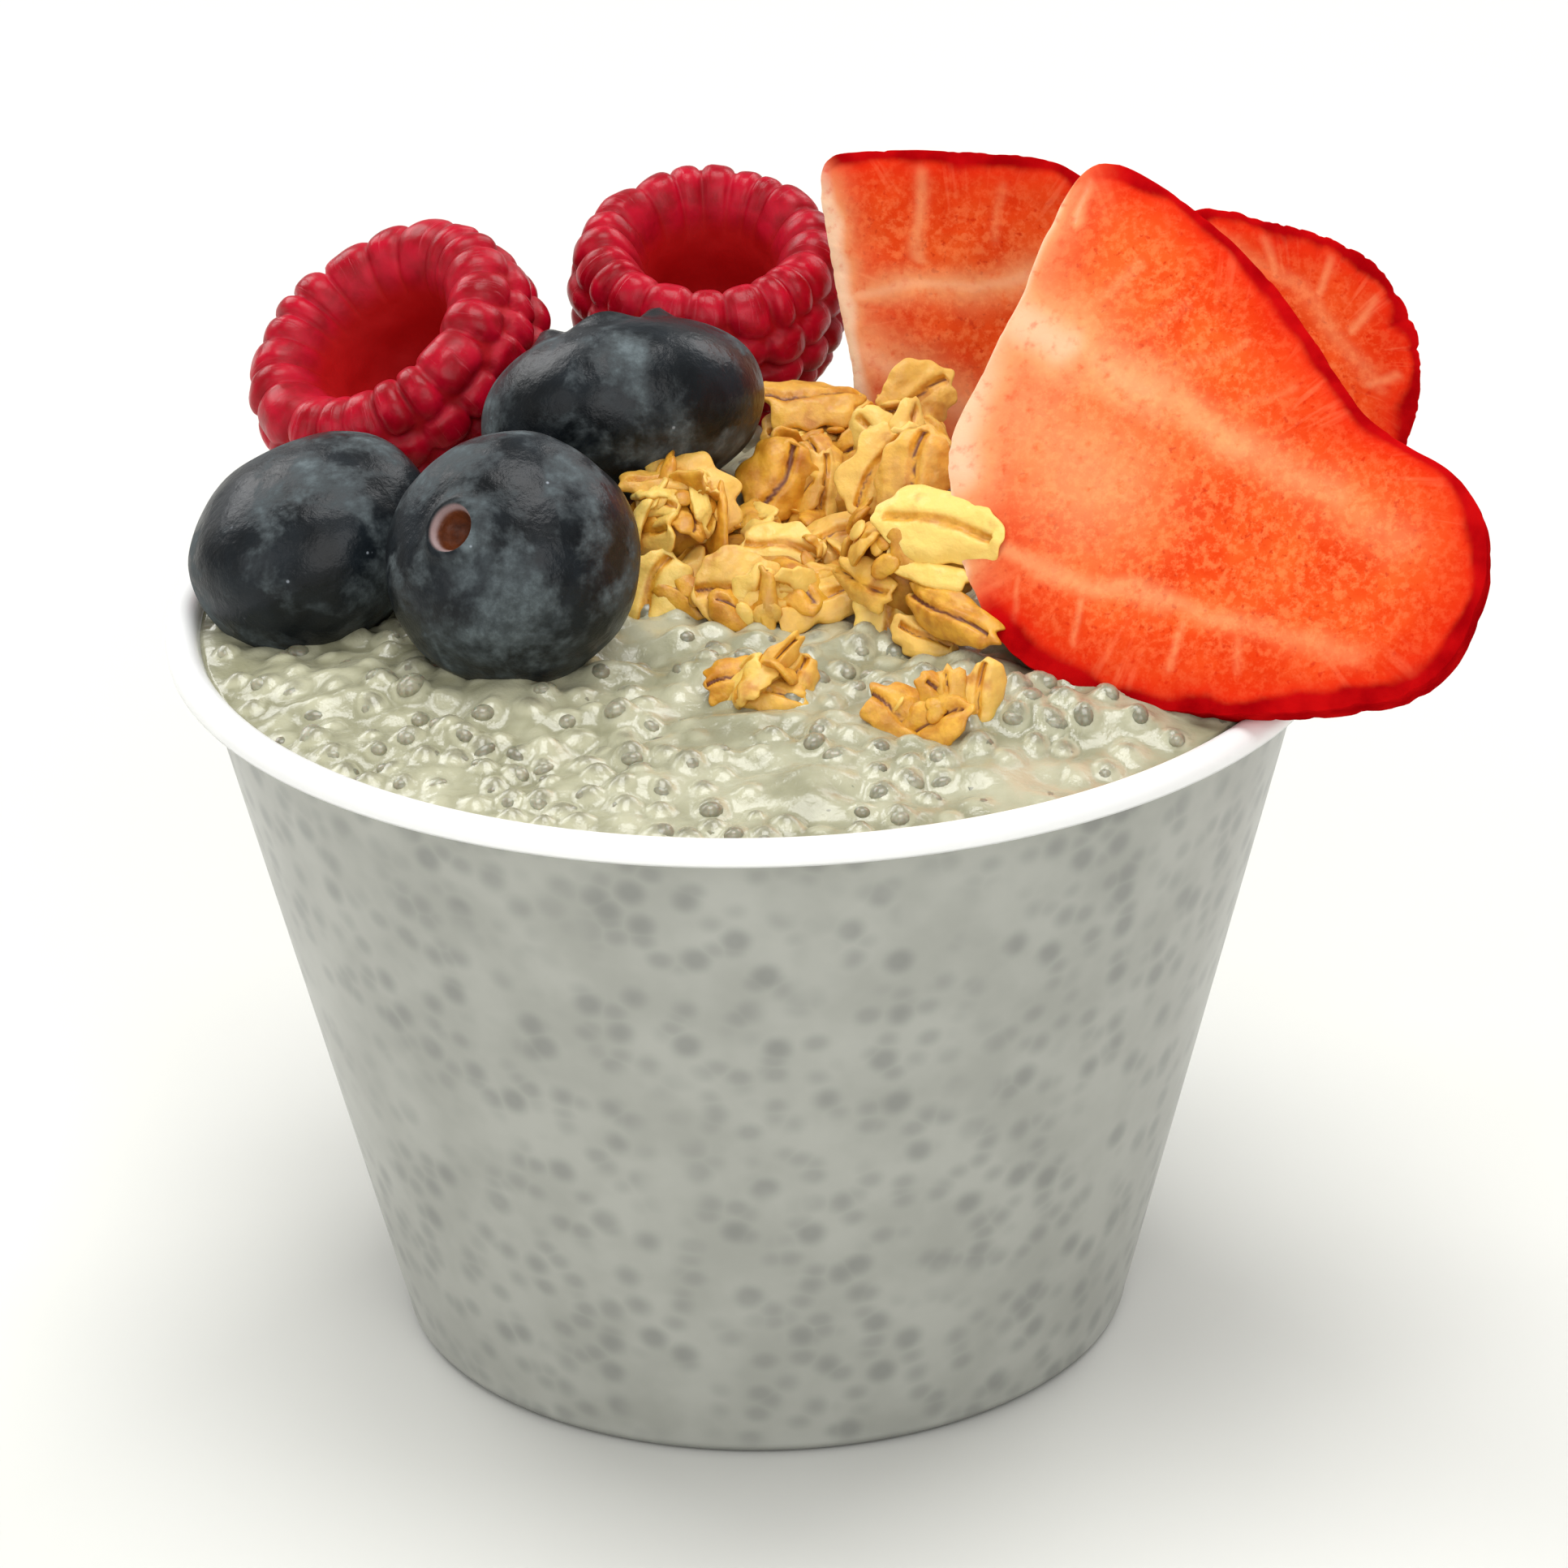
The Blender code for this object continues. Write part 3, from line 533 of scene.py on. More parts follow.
def cup_profile():
    """Radius and height of each ring from the inner floor to the base, and the lip's first and last."""
    lip_bend = (RIM_RADIUS - LIP_INNER_RADIUS) / 2
    lip_centre = (LIP_INNER_RADIUS + lip_bend, RIM_TOP - lip_bend)
    inner_floor = cup_radius(FLOOR) - WALL - BASE_CORNER
    profile = [(inner_floor * share, FLOOR) for share in FLOOR_SHARES]
    profile += arc((inner_floor, FLOOR + BASE_CORNER), BASE_CORNER, -90, -14, 5)
    for height in np.linspace(INNER_WALL_START, LIP_UNDERSIDE, INNER_WALL_ROWS):
        profile.append((cup_radius(height) - WALL, height))
    lip_start = len(profile) - 2
    profile += arc(lip_centre, lip_bend, 180, -20, LIP_STEPS)
    profile.append((RIM_RADIUS - LIP_CURL[0], LIP_UNDERSIDE + LIP_CURL[1]))
    profile.append((RIM_RADIUS - LIP_EDGE, LIP_UNDERSIDE))
    profile.append((WALL_TOP_RADIUS + LIP_ROOT, LIP_UNDERSIDE))
    lip_end = len(profile)
    profile.append((WALL_TOP_RADIUS - LIP_TUCK, LIP_UNDERSIDE - LIP_ROOT))
    for height in np.linspace(LIP_UNDERSIDE - 1.0, 2.0, OUTER_WALL_ROWS):
        profile.append((cup_radius(height), height))
    corner = (cup_radius(BASE_CORNER) - BASE_CORNER, BASE_CORNER)
    profile += arc(corner, BASE_CORNER, 14, -90, 7)
    profile += [(corner[0] * share, 0.0) for share in reversed(FLOOR_SHARES)]
    return profile, lip_start, lip_end


def build_cup():
    profile, lip_start, lip_end = cup_profile()
    points = []
    lips = []
    faces = []
    for row, (radius, height) in enumerate(profile):
        for segment in range(CUP_SEGMENTS):
            angle = 2 * math.pi * segment / CUP_SEGMENTS
            points.append((radius * math.cos(angle), radius * math.sin(angle), height))
            lips.append(1.0 if lip_start <= row < lip_end else 0.0)
    for row in range(len(profile) - 1):
        for segment in range(CUP_SEGMENTS):
            after = (segment + 1) % CUP_SEGMENTS
            start = row * CUP_SEGMENTS
            below = start + CUP_SEGMENTS
            faces.append((start + segment, start + after, below + after, below + segment))
    # Painted shade along the base, strongest at the floor
    painted_foot_shades = [FOOT_SHADE * math.exp(-((height / FOOT_SHADE_HEIGHT) ** 2)) for _, _, height in points]
    mesh = mesh_from("cup_detail", points, faces, cup_plastic())
    set_values(mesh, "lip", lips)
    set_values(mesh, "painted_foot_shade", painted_foot_shades)
    bm = bmesh.new()
    bm.from_mesh(mesh)
    bmesh.ops.remove_doubles(bm, verts=bm.verts, dist=0.000001)
    bmesh.ops.recalc_face_normals(bm, faces=bm.faces)
    bm.to_mesh(mesh)
    bm.free()
    finished_piece("cup_detail", mesh, "cup_plastic", "cup")


def surface_height(x, y):
    """The pudding's level: a low crown with banks against the fruit, lumps and ridges."""
    radius = math.hypot(x, y) / WALL_TOP_RADIUS
    height = EDGE_LEVEL + CROWN_RISE * (1 - min(radius, 1.0) ** 4)
    for (bank_x, bank_y), (reach_x, reach_y), rise in BANKS:
        across = (x - bank_x) / reach_x
        along = (y - bank_y) / reach_y
        height += rise * math.exp(-(across**2 + along**2) / 2)
    lump = noise.noise(Vector((x, y, LUMP_CUT)) / LUMP_PITCH)
    ridge = noise.noise(Vector((x, y * RIDGE_STRETCH, RIDGE_CUT)) / RIDGE_PITCH)
    return height + (LUMP_RELIEF * lump + RIDGE_RELIEF * ridge) * (1 - min(radius, 1.0) ** 12)


def crowding(x, y):
    """How thickly seeds show at a place: 0 where plain gel lies over them, 1 where they crowd."""
    value = noise.noise(Vector((x, y, CROWD_CUT)) / CROWD_PITCH)
    return min(1.0, max(0.0, CROWD_MEAN + CROWD_SWING * value))


def seed_size(draw):
    """A seed's size against the usual one, from its draw between 0 and 1."""
    return 0.75 + 0.45 * draw


def scatter_seeds(rng):
    """Places on the pudding's top, no nearer to each other than most of the seeds' pitch."""
    limit = PUDDING_RADIUS - SEED_EDGE_GAP
    cell = SEED_PITCH / 1.5
    taken = {}
    seeds = []
    for _ in range(SEED_TRIES):
        angle = rng.uniform(0, 2 * math.pi)
        reach = limit * math.sqrt(rng.random())
        x, y = reach * math.cos(angle), reach * math.sin(angle)
        swell = 0.5 + 0.5 * noise.noise(Vector((x, y, SEED_GAP_CUT)) / SEED_GAP_PITCH)
        gap = SEED_PITCH * (SEED_GAP_LEAST + SEED_GAP_SPREAD * swell)
        column, row = int(x // cell), int(y // cell)
        near = [
            other
            for i in range(column - 2, column + 3)
            for j in range(row - 2, row + 3)
            for other in taken.get((i, j), ())
        ]
        if all(math.hypot(x - a, y - b) > gap for a, b in near):
            taken.setdefault((column, row), []).append((x, y))
            seeds.append((x, y, rng.random()))
    return seeds


def pudding_gel():
    """Wet gel: seed is 0 on plain gel and 1 over the middle of a seed."""
    paint = Paint(
        "pudding gel", Roughness=0.22, Subsurface_Weight=0.25, Subsurface_Scale=0.0015,
        Subsurface_Radius=(1.0, 0.95, 0.8), Coat_Weight=0.25, Coat_Roughness=0.12,
    )
    cloud = paint.fade(paint.noise(0.005), 0.35, 0.65)
    gel = paint.mix(cloud, rgb(152, 150, 121), rgb(186, 184, 156))
    seed = paint.value("seed")
    # Painted highlight: the gel over each seed's dome is paler, leaving a pale ring round the grey
    # heart
    ring = paint.fade(seed, 0.05, 0.3)
    gel = paint.mix(paint.times(ring, 0.65), gel, rgb(192, 190, 162))
    heart = paint.fade(seed, 0.38, 0.9)
    fleck = paint.fade(paint.noise(0.0005), 0.35, 0.65)
    dark = paint.mix(fleck, rgb(120, 117, 96), rgb(148, 145, 122))
    gel = paint.mix(paint.times(heart, 0.72), gel, dark)
    paint.colour(gel)
    paint.bump(paint.noise(0.0012, 4.0), 0.00018, 0.7)
    paint.bump(paint.noise(0.0004, 2.0), 0.00005, 0.5)
    return paint.material


def disc_place(across, along):
    """A place in a square from -1 to 1, moved into the round that touches its sides."""
    if across == 0 and along == 0:
        return 0.0, 0.0
    if abs(across) >= abs(along):
        turn = math.pi / 4 * along / across
        return across * math.cos(turn), across * math.sin(turn)
    turn = math.pi / 4 * across / along
    return along * math.sin(turn), along * math.cos(turn)


def pudding_top(seeds):
    """Points of a square grid bent round, each with how far up a seed's dome it is."""
    tree = KDTree(len(seeds))
    for index, (x, y, _) in enumerate(seeds):
        tree.insert((x, y, 0.0), index)
    tree.balance()
    points = []
    values = []
    for row in range(PUDDING_CELLS + 1):
        for column in range(PUDDING_CELLS + 1):
            x, y = disc_place(2 * column / PUDDING_CELLS - 1, 2 * row / PUDDING_CELLS - 1)
            x *= PUDDING_RADIUS
            y *= PUDDING_RADIUS
            _, index, distance = tree.find((x, y, 0.0))
            seed_x, seed_y, draw = seeds[index]
            size = seed_size(draw)
            share = min(distance / (DOME_REACH * size), 1.0)
            dome = (1 - share**2) ** 1.5 * crowding(seed_x, seed_y)
            points.append((x, y, surface_height(x, y) + (DOME_RISE * size * dome - GEL_SINK)))
            values.append(dome)
    return points, values


def build_pudding(seeds):
    """A round block of gel whose top rises in a small dome over each soaked seed."""
    points, values = pudding_top(seeds)
    last = PUDDING_CELLS
    count = last + 1
    faces = []
    for row in range(last):
        for column in range(last):
            start = row * count + column
            faces.append((start, start + 1, start + 1 + count, start + count))
    border = list(range(count))
    border += [row * count + last for row in range(1, count)]
    border += [last * count + column for column in range(last - 1, -1, -1)]
    border += [row * count for row in range(last - 1, 0, -1)]
    upper = border
    for level in PUDDING_SIDE_LEVELS:
        scale = (cup_radius(level) - WALL + PUDDING_INTO_WALL) / PUDDING_RADIUS
        lower = []
        for index in border:
            x, y, _ = points[index]
            lower.append(len(points))
            points.append((x * scale, y * scale, level))
            values.append(0.0)
        for spot, index in enumerate(upper):
            after = (spot + 1) % len(upper)
            faces.append((index, lower[spot], lower[after], upper[after]))
        upper = lower
    points.append((0.0, 0.0, PUDDING_SIDE_LEVELS[-1]))
    values.append(0.0)
    for spot, index in enumerate(upper):
        faces.append((index, len(points) - 1, upper[(spot + 1) % len(upper)]))
    mesh = mesh_from("pudding_gel", points, faces, pudding_gel())
    set_values(mesh, "seed", values)
    finished_piece("pudding_gel", mesh, "pudding", "pudding")


def seed_skin():
    """Grey skin with darker flecks: tone is one value for each seed."""
    paint = Paint(
        "soaked seed", Roughness=0.3, Subsurface_Weight=0.3, Subsurface_Scale=0.0006,
        Coat_Weight=0.3,
    )
    tone = paint.value("tone")
    fleck = paint.fade(paint.noise(0.0004), 0.35, 0.7)
    grey = paint.mix(tone, rgb(134, 131, 109), rgb(167, 164, 140))
    paint.colour(paint.mix(paint.times(fleck, 0.5), grey, rgb(100, 97, 79)))
    return paint.material


def build_seeds(seeds, rng):
    """Soaked seeds whose tops show through the gel's domes."""
    points, faces = light_ball(16, 10)
    heap = Heap()
    for x, y, draw in seeds:
        size = seed_size(draw)
        turn = Euler((rng.uniform(-0.5, 0.5), rng.uniform(-0.5, 0.5), rng.uniform(0, 6.3)))
        top = surface_height(x, y) + DOME_RISE * size * crowding(x, y) - GEL_SINK
        level = top - SEED_RADII[2] * size + rng.uniform(-SEED_SINK, 0.0)
        matrix = Matrix.Translation((x, y, level)) @ turn.to_matrix().to_4x4()
        heap.add(place(points * np.array(SEED_RADII) * size, matrix), faces, rng.random())
    mesh = heap.mesh("chia_seeds", seed_skin())
    finished_piece("chia_seeds", mesh, "pudding")


def blueberry_skin():
    """Slate skin with a pale dusty bloom that is rubbed off in patches."""
    paint = Paint("blueberry skin", Specular_IOR_Level=0.24)
    patches = paint.fade(paint.noise(0.0050, 5.0, roughness=0.62, distortion=0.2), 0.46, 0.66)
    dust = paint.fade(paint.noise(0.0013, 5.0, roughness=0.7), 0.36, 0.74)
    bloom = paint.times(paint.math("ADD", patches, 0.02), paint.math("ADD", dust, 0.5))
    skin = paint.mix(paint.fade(paint.noise(0.004, 2.0), 0.3, 0.7), rgb(6, 9, 12), rgb(22, 28, 33))
    skin = paint.mix(paint.math("MULTIPLY", bloom, 0.48, clamp=True), skin, rgb(120, 131, 134))
    specks = paint.fade(paint.cells(0.0011), 0.13, 0.05)
    few = paint.fade(paint.noise(0.003, 2.0), 0.55, 0.68)
    specks = paint.times(specks, few)
    skin = paint.mix(paint.times(specks, 0.8), skin, rgb(168, 176, 186))
    scar = paint.value("scar")
    skin = paint.mix(paint.fade(scar, 0.34, 0.5), skin, rgb(140, 116, 114))
    # The scar's hole: its own brown, mottled with near-black that is painted shade in the pit
    hole = paint.mix(paint.noise(0.0008), rgb(26, 8, 6), rgb(124, 62, 28))
    skin = paint.mix(paint.fade(scar, 0.55, 0.72), skin, hole)
    # Near-black crown: partly the dried lobes' own dark colour, partly painted shade in the crown's
    # hollow
    paint.colour(paint.mix(paint.value("crown"), skin, rgb(14, 14, 18)))
    paint.roughness(paint.fade(bloom, -0.8, 1.4))
    paint.bump(paint.noise(0.0025, 5.0), 0.0003, 0.7)
    paint.bump(dust, 0.00003, 0.5)
    return paint.material


def build_blueberry(name, centre, crown_axis, radius, half_height, scar_size, seed, skin):
    """A squat berry with a lobed crown and, where the scar has a reach, a stem's scar opposite."""
    longitude, polar, faces = globe(BLUEBERRY_SEGMENTS, BLUEBERRY_RINGS)
    cosine = np.cos(polar)
    width = radius * np.sin(polar) ** 0.85
    level = half_height * np.sign(cosine) * np.abs(cosine) ** 0.9
    ring = np.exp(-(((polar - CROWN_RING) / CROWN_RING_WIDTH) ** 2))
    lobe = (0.5 + 0.5 * np.cos(CROWN_LOBES * longitude)) ** 0.7
    level += half_height * ring * (0.02 + 0.13 * lobe)
    level -= half_height * 0.2 * np.exp(-((polar / CROWN_HOLLOW) ** 2))
    from_scar = (math.pi - polar) / scar_size if scar_size else np.full(len(polar), 9.0)
    level -= half_height * 0.07 * np.exp(-((from_scar - 1.15) / 0.3) ** 2)
    level += half_height * 0.22 * np.exp(-((from_scar / 0.75) ** 4))
    points = np.stack([width * np.cos(longitude), width * np.sin(longitude), level], axis=1)
    dents = unevenness(points, 5.0, seed) * 0.34 + unevenness(points, 2.2, seed + 1) * 0.08
    points *= (1 + dents / radius)[:, None]
    points = place(points, stand_along(centre, crown_axis))
    mesh = mesh_from(name, points, faces, skin)
    set_values(mesh, "scar", np.exp(-((from_scar / 1.05) ** 4)))
    # How far a point lies within the crown, for its near-black: partly the lobes' own colour, partly
    # painted shade in the hollow
    set_values(mesh, "crown", np.exp(-((polar / CROWN_SHADE) ** 6)))
    finished_piece(f"{name}_detail", mesh, "blueberry", name)


def raspberry_flesh():
    """Deep crimson: tone is 0 in the hollow and 1 on the crowns of the drupelets."""
    paint = Paint(
        "raspberry flesh", Specular_IOR_Level=0.22, Subsurface_Weight=0.3,
        Subsurface_Scale=0.0012, Subsurface_Radius=(1.0, 0.15, 0.12),
    )
    tone = paint.value("tone")
    mottle = paint.fade(paint.noise(0.0018), 0.3, 0.7)
    flesh = paint.mix(mottle, rgb(146, 0, 18), rgb(186, 4, 38))
    flesh = paint.mix(paint.fade(tone, 0.45, 0.05), flesh, rgb(168, 0, 3))
    # Pale pink fine streaks on the drupelets' crowns: partly their own striations, partly painted
    # highlight
    streak_and_highlight = paint.noise(1.0, 3.0, paint.stretch(paint.vector("around"), 34.0, 0.5, 1.0), 0.6)
    streak_and_highlight = paint.times(paint.fade(streak_and_highlight, 0.58, 0.74), paint.fade(tone, 0.3, 0.9))
    flesh = paint.mix(paint.times(streak_and_highlight, 0.4), flesh, rgb(236, 84, 104))
    paint.colour(flesh)
    paint.roughness(paint.fade(tone, 2.0, -1.0))
    paint.bump(streak_and_highlight, 0.00008, 0.5)
    paint.bump(paint.noise(0.0009), 0.00008, 0.6)
    return paint.material


def curve_point(before, start, end, after, share):
    """A point between start and end on a smooth curve through all four."""
    line = 2 * start + (end - before) * share
    bend = (2 * before - 5 * start + 4 * end - after) * share**2
    swing = (3 * start - before - 3 * end + after) * share**3
    return 0.5 * (line + bend + swing)


def curve_through(points, count, steps=40):
    """Evenly spaced places on a smooth open curve through points, and how far along they are."""
    ends = np.array([points[0], *points, points[-1]])
    fine = []
    for corners in zip(ends, ends[1:], ends[2:], ends[3:]):
        fine += [curve_point(*corners, share) for share in np.linspace(0, 1, steps, endpoint=False)]
    fine = np.array(fine + [ends[-1]])
    length = np.concatenate([[0], np.cumsum(np.linalg.norm(np.diff(fine, axis=0), axis=1))])
    even = np.linspace(0, length[-1], count)
    return np.stack([np.interp(even, length, fine[:, k]) for k in (0, 1)], axis=1), even


def build_raspberry(name, centre, opening_axis, radius, height, spin, seed, flesh):
    """A hollow berry: long drupelets over its rim, and rows of rounded ones down its side."""
    rng = random.Random(seed)
    profile = [(across * radius, up * height) for across, up in RASPBERRY_PROFILE]
    rings = RASPBERRY_RINGS
    line, length = curve_through(profile, rings + 1)
    slope = np.gradient(line, axis=0)
    normal = np.stack([-slope[:, 1], slope[:, 0]], axis=1)
    normal /= np.linalg.norm(normal, axis=1)[:, None]
    rim_start, rim_end = (length[np.argmax(line[:, 0] > share * radius)] for share in RIM_SHARES)
    row_height = (length[-1] - rim_end) / SIDE_ROWS
    shapes = {}

    def drupelet(row, cell):
        if (row, cell) not in shapes:
            shapes[row, cell] = (rng.uniform(-0.2, 0.2), rng.uniform(0.7, 1.15))
        return shapes[row, cell]

    points = []
    tones = []
    around = []
    longitude, polar, faces = globe(RASPBERRY_SEGMENTS, rings)
    steps = np.rint(polar / math.pi * rings).astype(int)
    for angle, step in zip(longitude, steps):
        width, level = line[step]
        along = length[step]
        if along < rim_end:
            row, count = 0, RIM_DRUPELETS
            middle = 2 * (along - rim_start) / (rim_end - rim_start) - 1
            fade = min(1.0, max(0.0, (along - rim_start) / (0.55 * (rim_end - rim_start))))
            tall = max(middle, 0.0) ** 2.6
        else:
            row = 1 + int((along - rim_end) / row_height)
            inside = (along - rim_end) / row_height % 1
            middle_line = min(rings, step + round((0.5 - inside) * row_height / length[-1] * rings))
            round_length = 2 * math.pi * line[middle_line][0]
            count = max(FEWEST_IN_A_ROW, round(round_length / DRUPELET_PITCH))
            tall = abs(2 * inside - 1) ** 2.4
            fade = min(1.0, width / (0.35 * radius))
        turn = angle / (2 * math.pi) * count + 0.5 * (row % 2)
        turn += 0.28 * math.sin(3 * angle + row * 2 + seed) + 0.12 * math.sin(7 * angle - row)
        shift, size = drupelet(row, int(turn) % count)
        across = min(1.0, abs(2 * (turn % 1) - 1 + shift * (1 - abs(2 * (turn % 1) - 1))))
        crown = max(0.0, 1 - 0.94 * across**2.8 - 0.92 * tall) ** 0.55
        rise = (crown - 0.5) * DRUPELET_RELIEF * size * fade
        width += normal[step][0] * rise
        level += normal[step][1] * rise
        points.append((width * math.cos(angle), width * math.sin(angle), level))
        tones.append(min(1.0, max(0.0, fade * (0.25 + 0.75 * crown))))
        around.append((angle, along / 3.0, 0.0))
    points = np.array(points)
    uneven = 0.04 * unevenness(points, 5.0, seed) + 0.018 * unevenness(points, 1.4, seed + 2)
    points *= (1 + uneven)[:, None]
    matrix = stand_along(centre, opening_axis, spin)
    mesh = mesh_from(name, place(points, matrix), faces, flesh)
    set_values(mesh, "tone", tones)
    set_values(mesh, "around", around)
    finished_piece(f"{name}_detail", mesh, "raspberry", name)


def smooth_outline(points, steps=24):
    """A closed smooth curve through the points of an outline."""
    ring = np.array(points)
    curve = []
    for index in range(len(ring)):
        corners = [ring[(index + k) % len(ring)] for k in (-1, 0, 1, 2)]
        curve += [curve_point(*corners, step / steps) for step in range(steps)]
    return np.array(curve)


def outline_reach(curve, longitudes):
    """How far the outline lies from its origin in each direction."""
    angles = np.arctan2(curve[:, 1], curve[:, 0])
    lengths = np.hypot(curve[:, 0], curve[:, 1])
    order = np.argsort(angles)
    angles, lengths = angles[order], lengths[order]
    wrapped = np.concatenate([angles - 2 * math.pi, angles, angles + 2 * math.pi])
    turned = (longitudes + math.pi) % (2 * math.pi) - math.pi
    return np.interp(turned, wrapped, np.tile(lengths, 3))


def nearness(places, line, half_width):
    """1 on a broken line, falling to 0 a few half widths from it."""
    best = np.full(len(places), 1e9)
    for first, second in zip(line, line[1:]):
        first, second = np.array(first), np.array(second)
        along = second - first
        share = np.clip((places - first) @ along / (along @ along), 0, 1)
        apart = np.linalg.norm(places - first - share[:, None] * along, axis=1)
        best = np.minimum(best, apart)
    return np.exp(-((best / half_width) ** 2))


def strawberry_flesh():
    """Cut flesh: pale cores and veins on speckled orange red, with crimson skin round it."""
    paint = Paint(
        "strawberry flesh", Roughness=0.4, Subsurface_Weight=0.2, Subsurface_Scale=0.0015,
        Subsurface_Radius=(1.0, 0.35, 0.2),
    )
    face = paint.vector("face_place")
    cloud = paint.fade(paint.noise(0.004), 0.3, 0.7)
    flesh = paint.mix(cloud, rgb(222, 62, 17), rgb(238, 95, 38))
    grain = paint.fade(paint.noise(0.0006, roughness=0.7), 0.42, 0.66)
    flesh = paint.mix(paint.times(grain, 0.45), flesh, rgb(252, 146, 86))
    spots = paint.fade(paint.noise(0.00045, 2.0), 0.60, 0.74)
    flesh = paint.mix(paint.times(spots, 0.65), flesh, rgb(198, 38, 10))
    along_rays = paint.stretch(face, 9.0, 1.1, 1.0)
    rays = paint.fade(paint.noise(1 / 1.6, 3.0, along_rays, 0.5), 0.56, 0.72)
    outer = paint.value("outer")
    flesh = paint.mix(paint.times(outer, 0.55), flesh, rgb(212, 38, 8))
    rays = paint.times(rays, outer)
    flesh = paint.mix(paint.times(rays, 0.3), flesh, rgb(250, 150, 100))
    pale = paint.value("pale")
    broken = paint.times(pale, paint.fade(paint.noise(0.0008), 0.05, 0.5))
    cream = paint.mix(paint.fade(pale, 0.55, 0.95), rgb(248, 184, 126), rgb(252, 214, 178))
    flesh = paint.mix(broken, flesh, cream)
    skin = paint.mix(paint.fade(paint.noise(0.003), 0.3, 0.7), rgb(150, 2, 8), rgb(190, 12, 14))
    covered = paint.value("skin")
    skin = paint.mix(paint.fade(covered, 0.45, 0.95), rgb(218, 30, 18), skin)
    paint.colour(paint.mix(covered, flesh, skin))
    gloss = paint.times(paint.value("gloss"), 0.5)
    paint.put(gloss, paint.shader.inputs["Specular IOR Level"])
    paint.bump(paint.noise(0.0008, 4.0), 0.00012, 0.5)
    paint.bump(pale, 0.00012, 0.4)
    return paint.material


def slice_reach(outline, longitude, ragged, seed):
    """How far a piece's slightly ragged edge lies from its middle at each longitude."""
    reach = outline_reach(smooth_outline(outline), longitude)
    wave = round_noise(longitude, seed, 6)
    notch = round_noise(longitude, seed, 19)
    return reach * (SLICE_FIT + ragged * (wave - 0.35) - 1.5 * ragged * np.maximum(0, notch))


def skin_missing(longitude, share, front, bare, wobble):
    """1 between the two bare angles, where the piece was cut along the calyx and has no skin."""
    start, end = bare
    turned = np.degrees(longitude) % 360
    from_calyx = np.abs((turned - (start + end) / 2 + 180) % 360 - 180)
    bared = np.clip(((end - start) / 2 + 6 - from_calyx) / 12, 0, 1)
    return bared * np.where(front, 1.0, np.clip((share + 0.2 * wobble[:, 0] - 0.6) / 0.3, 0, 1))


def build_strawberry(name, spot, lean, heading, outline, depth, lines, bare, ragged, seed, flesh):
    """A cut piece with a flat face and a rounded back; gives the skin's points and its matrix."""
    longitude, polar, faces = globe(SLICE_SEGMENTS, SLICE_RINGS)
    reach = slice_reach(outline, longitude, ragged, seed)
    front = polar <= math.pi / 2
    share = np.where(front, np.sin(polar) ** 0.75, np.sin(polar) ** 0.6)
    behind = np.clip(-np.cos(polar), 0, 1)
    back = -SLICE_EDGE - (depth - SLICE_EDGE) * behind**0.85
    level = np.where(front, -SLICE_EDGE * share**8, back)
    points = np.stack(
        [reach * share * np.cos(longitude), reach * share * np.sin(longitude), level], axis=1
    )
    inside = reach * (1 - share)
    wobble = np.stack([unevenness(points, 2.6, seed + 4), unevenness(points, 2.6, seed + 5)], axis=1)
    flat = points[:, :2] + 0.55 * wobble
    bared = skin_missing(longitude, share, front, bare, wobble)
    pale = np.zeros(len(points))
    for line, half_width, strength in lines:
        pale = np.maximum(pale, strength * nearness(flat, line, half_width))
    pale *= np.where(front, 1.0, 0.0)
    uneven = unevenness(points, 3.0, seed) * 0.16 + unevenness(points, 1.2, seed + 2) * 0.05
    points[:, 2] += np.where(front, uneven, 0.0) - np.where(front, 0.12 * pale, 0.0)
    within = np.maximum(0, inside + 0.9 * wobble[:, 0] * np.clip(inside, 0, 1))
    band = np.clip(1.1 * np.exp(-((within / 1.1) ** 1.5)) + 0.35 * np.exp(-within / 2.6), 0, 1)
    pale = np.maximum(pale, np.where(front, 0.85 * bared * np.exp(-inside / 1.6), 0.6 * bared))
    matrix = lean_back(spot, lean, heading)
    mesh = mesh_from(name, place(points, matrix), faces, flesh)
    set_values(mesh, "pale", pale)
    set_values(mesh, "skin", np.where(front, band, 1.0) * (1 - bared))
    set_values(mesh, "outer", np.where(front, np.clip(1.35 - inside / 4.5, 0, 1), 0.0))
    set_values(mesh, "gloss", np.clip((behind - 0.3) / 0.3, 0, 1))
    set_values(mesh, "face_place", np.stack([longitude, share, np.zeros(len(share))], axis=1))
    finished_piece(f"{name}_detail", mesh, "strawberry", name)
    seeded = np.nonzero(~front & (share > 0.15) & (inside > 1.2) & (bared < 0.05))[0]
    return points[seeded], matrix


def achene_skin():
    paint = Paint("strawberry seed", Roughness=0.4)
    tone = paint.value("tone")
    paint.colour(paint.mix(tone, rgb(206, 150, 60), rgb(166, 84, 30)))
    paint.bump(paint.noise(0.0003, 2.0), 0.00003, 0.5)
    return paint.material


def build_achenes(slices):
    """Small seeds lying in the skin of the strawberry pieces."""
    rng = random.Random(21)
    form, faces = ball(2)
    heap = Heap()
    for skin, matrix in slices:
        taken = []
        for _ in range(ACHENE_TRIES):
            spot = skin[rng.randrange(len(skin))]
            if all(np.linalg.norm(spot - other) > ACHENE_PITCH for other in taken):
                taken.append(spot)
                out = Vector((spot[0], spot[1], spot[2] * 2 - 1)).normalized()
                local = stand_along(Vector(spot) - out * ACHENE_SINK, out, rng.uniform(0, 6.3))
                size = np.array(ACHENE_SIZE) * rng.uniform(0.85, 1.1)
                heap.add(place(form * size, matrix @ local), faces, rng.random())
    mesh = heap.mesh("strawberry_seeds", achene_skin())
    finished_piece("strawberry_seeds", mesh, "strawberry")


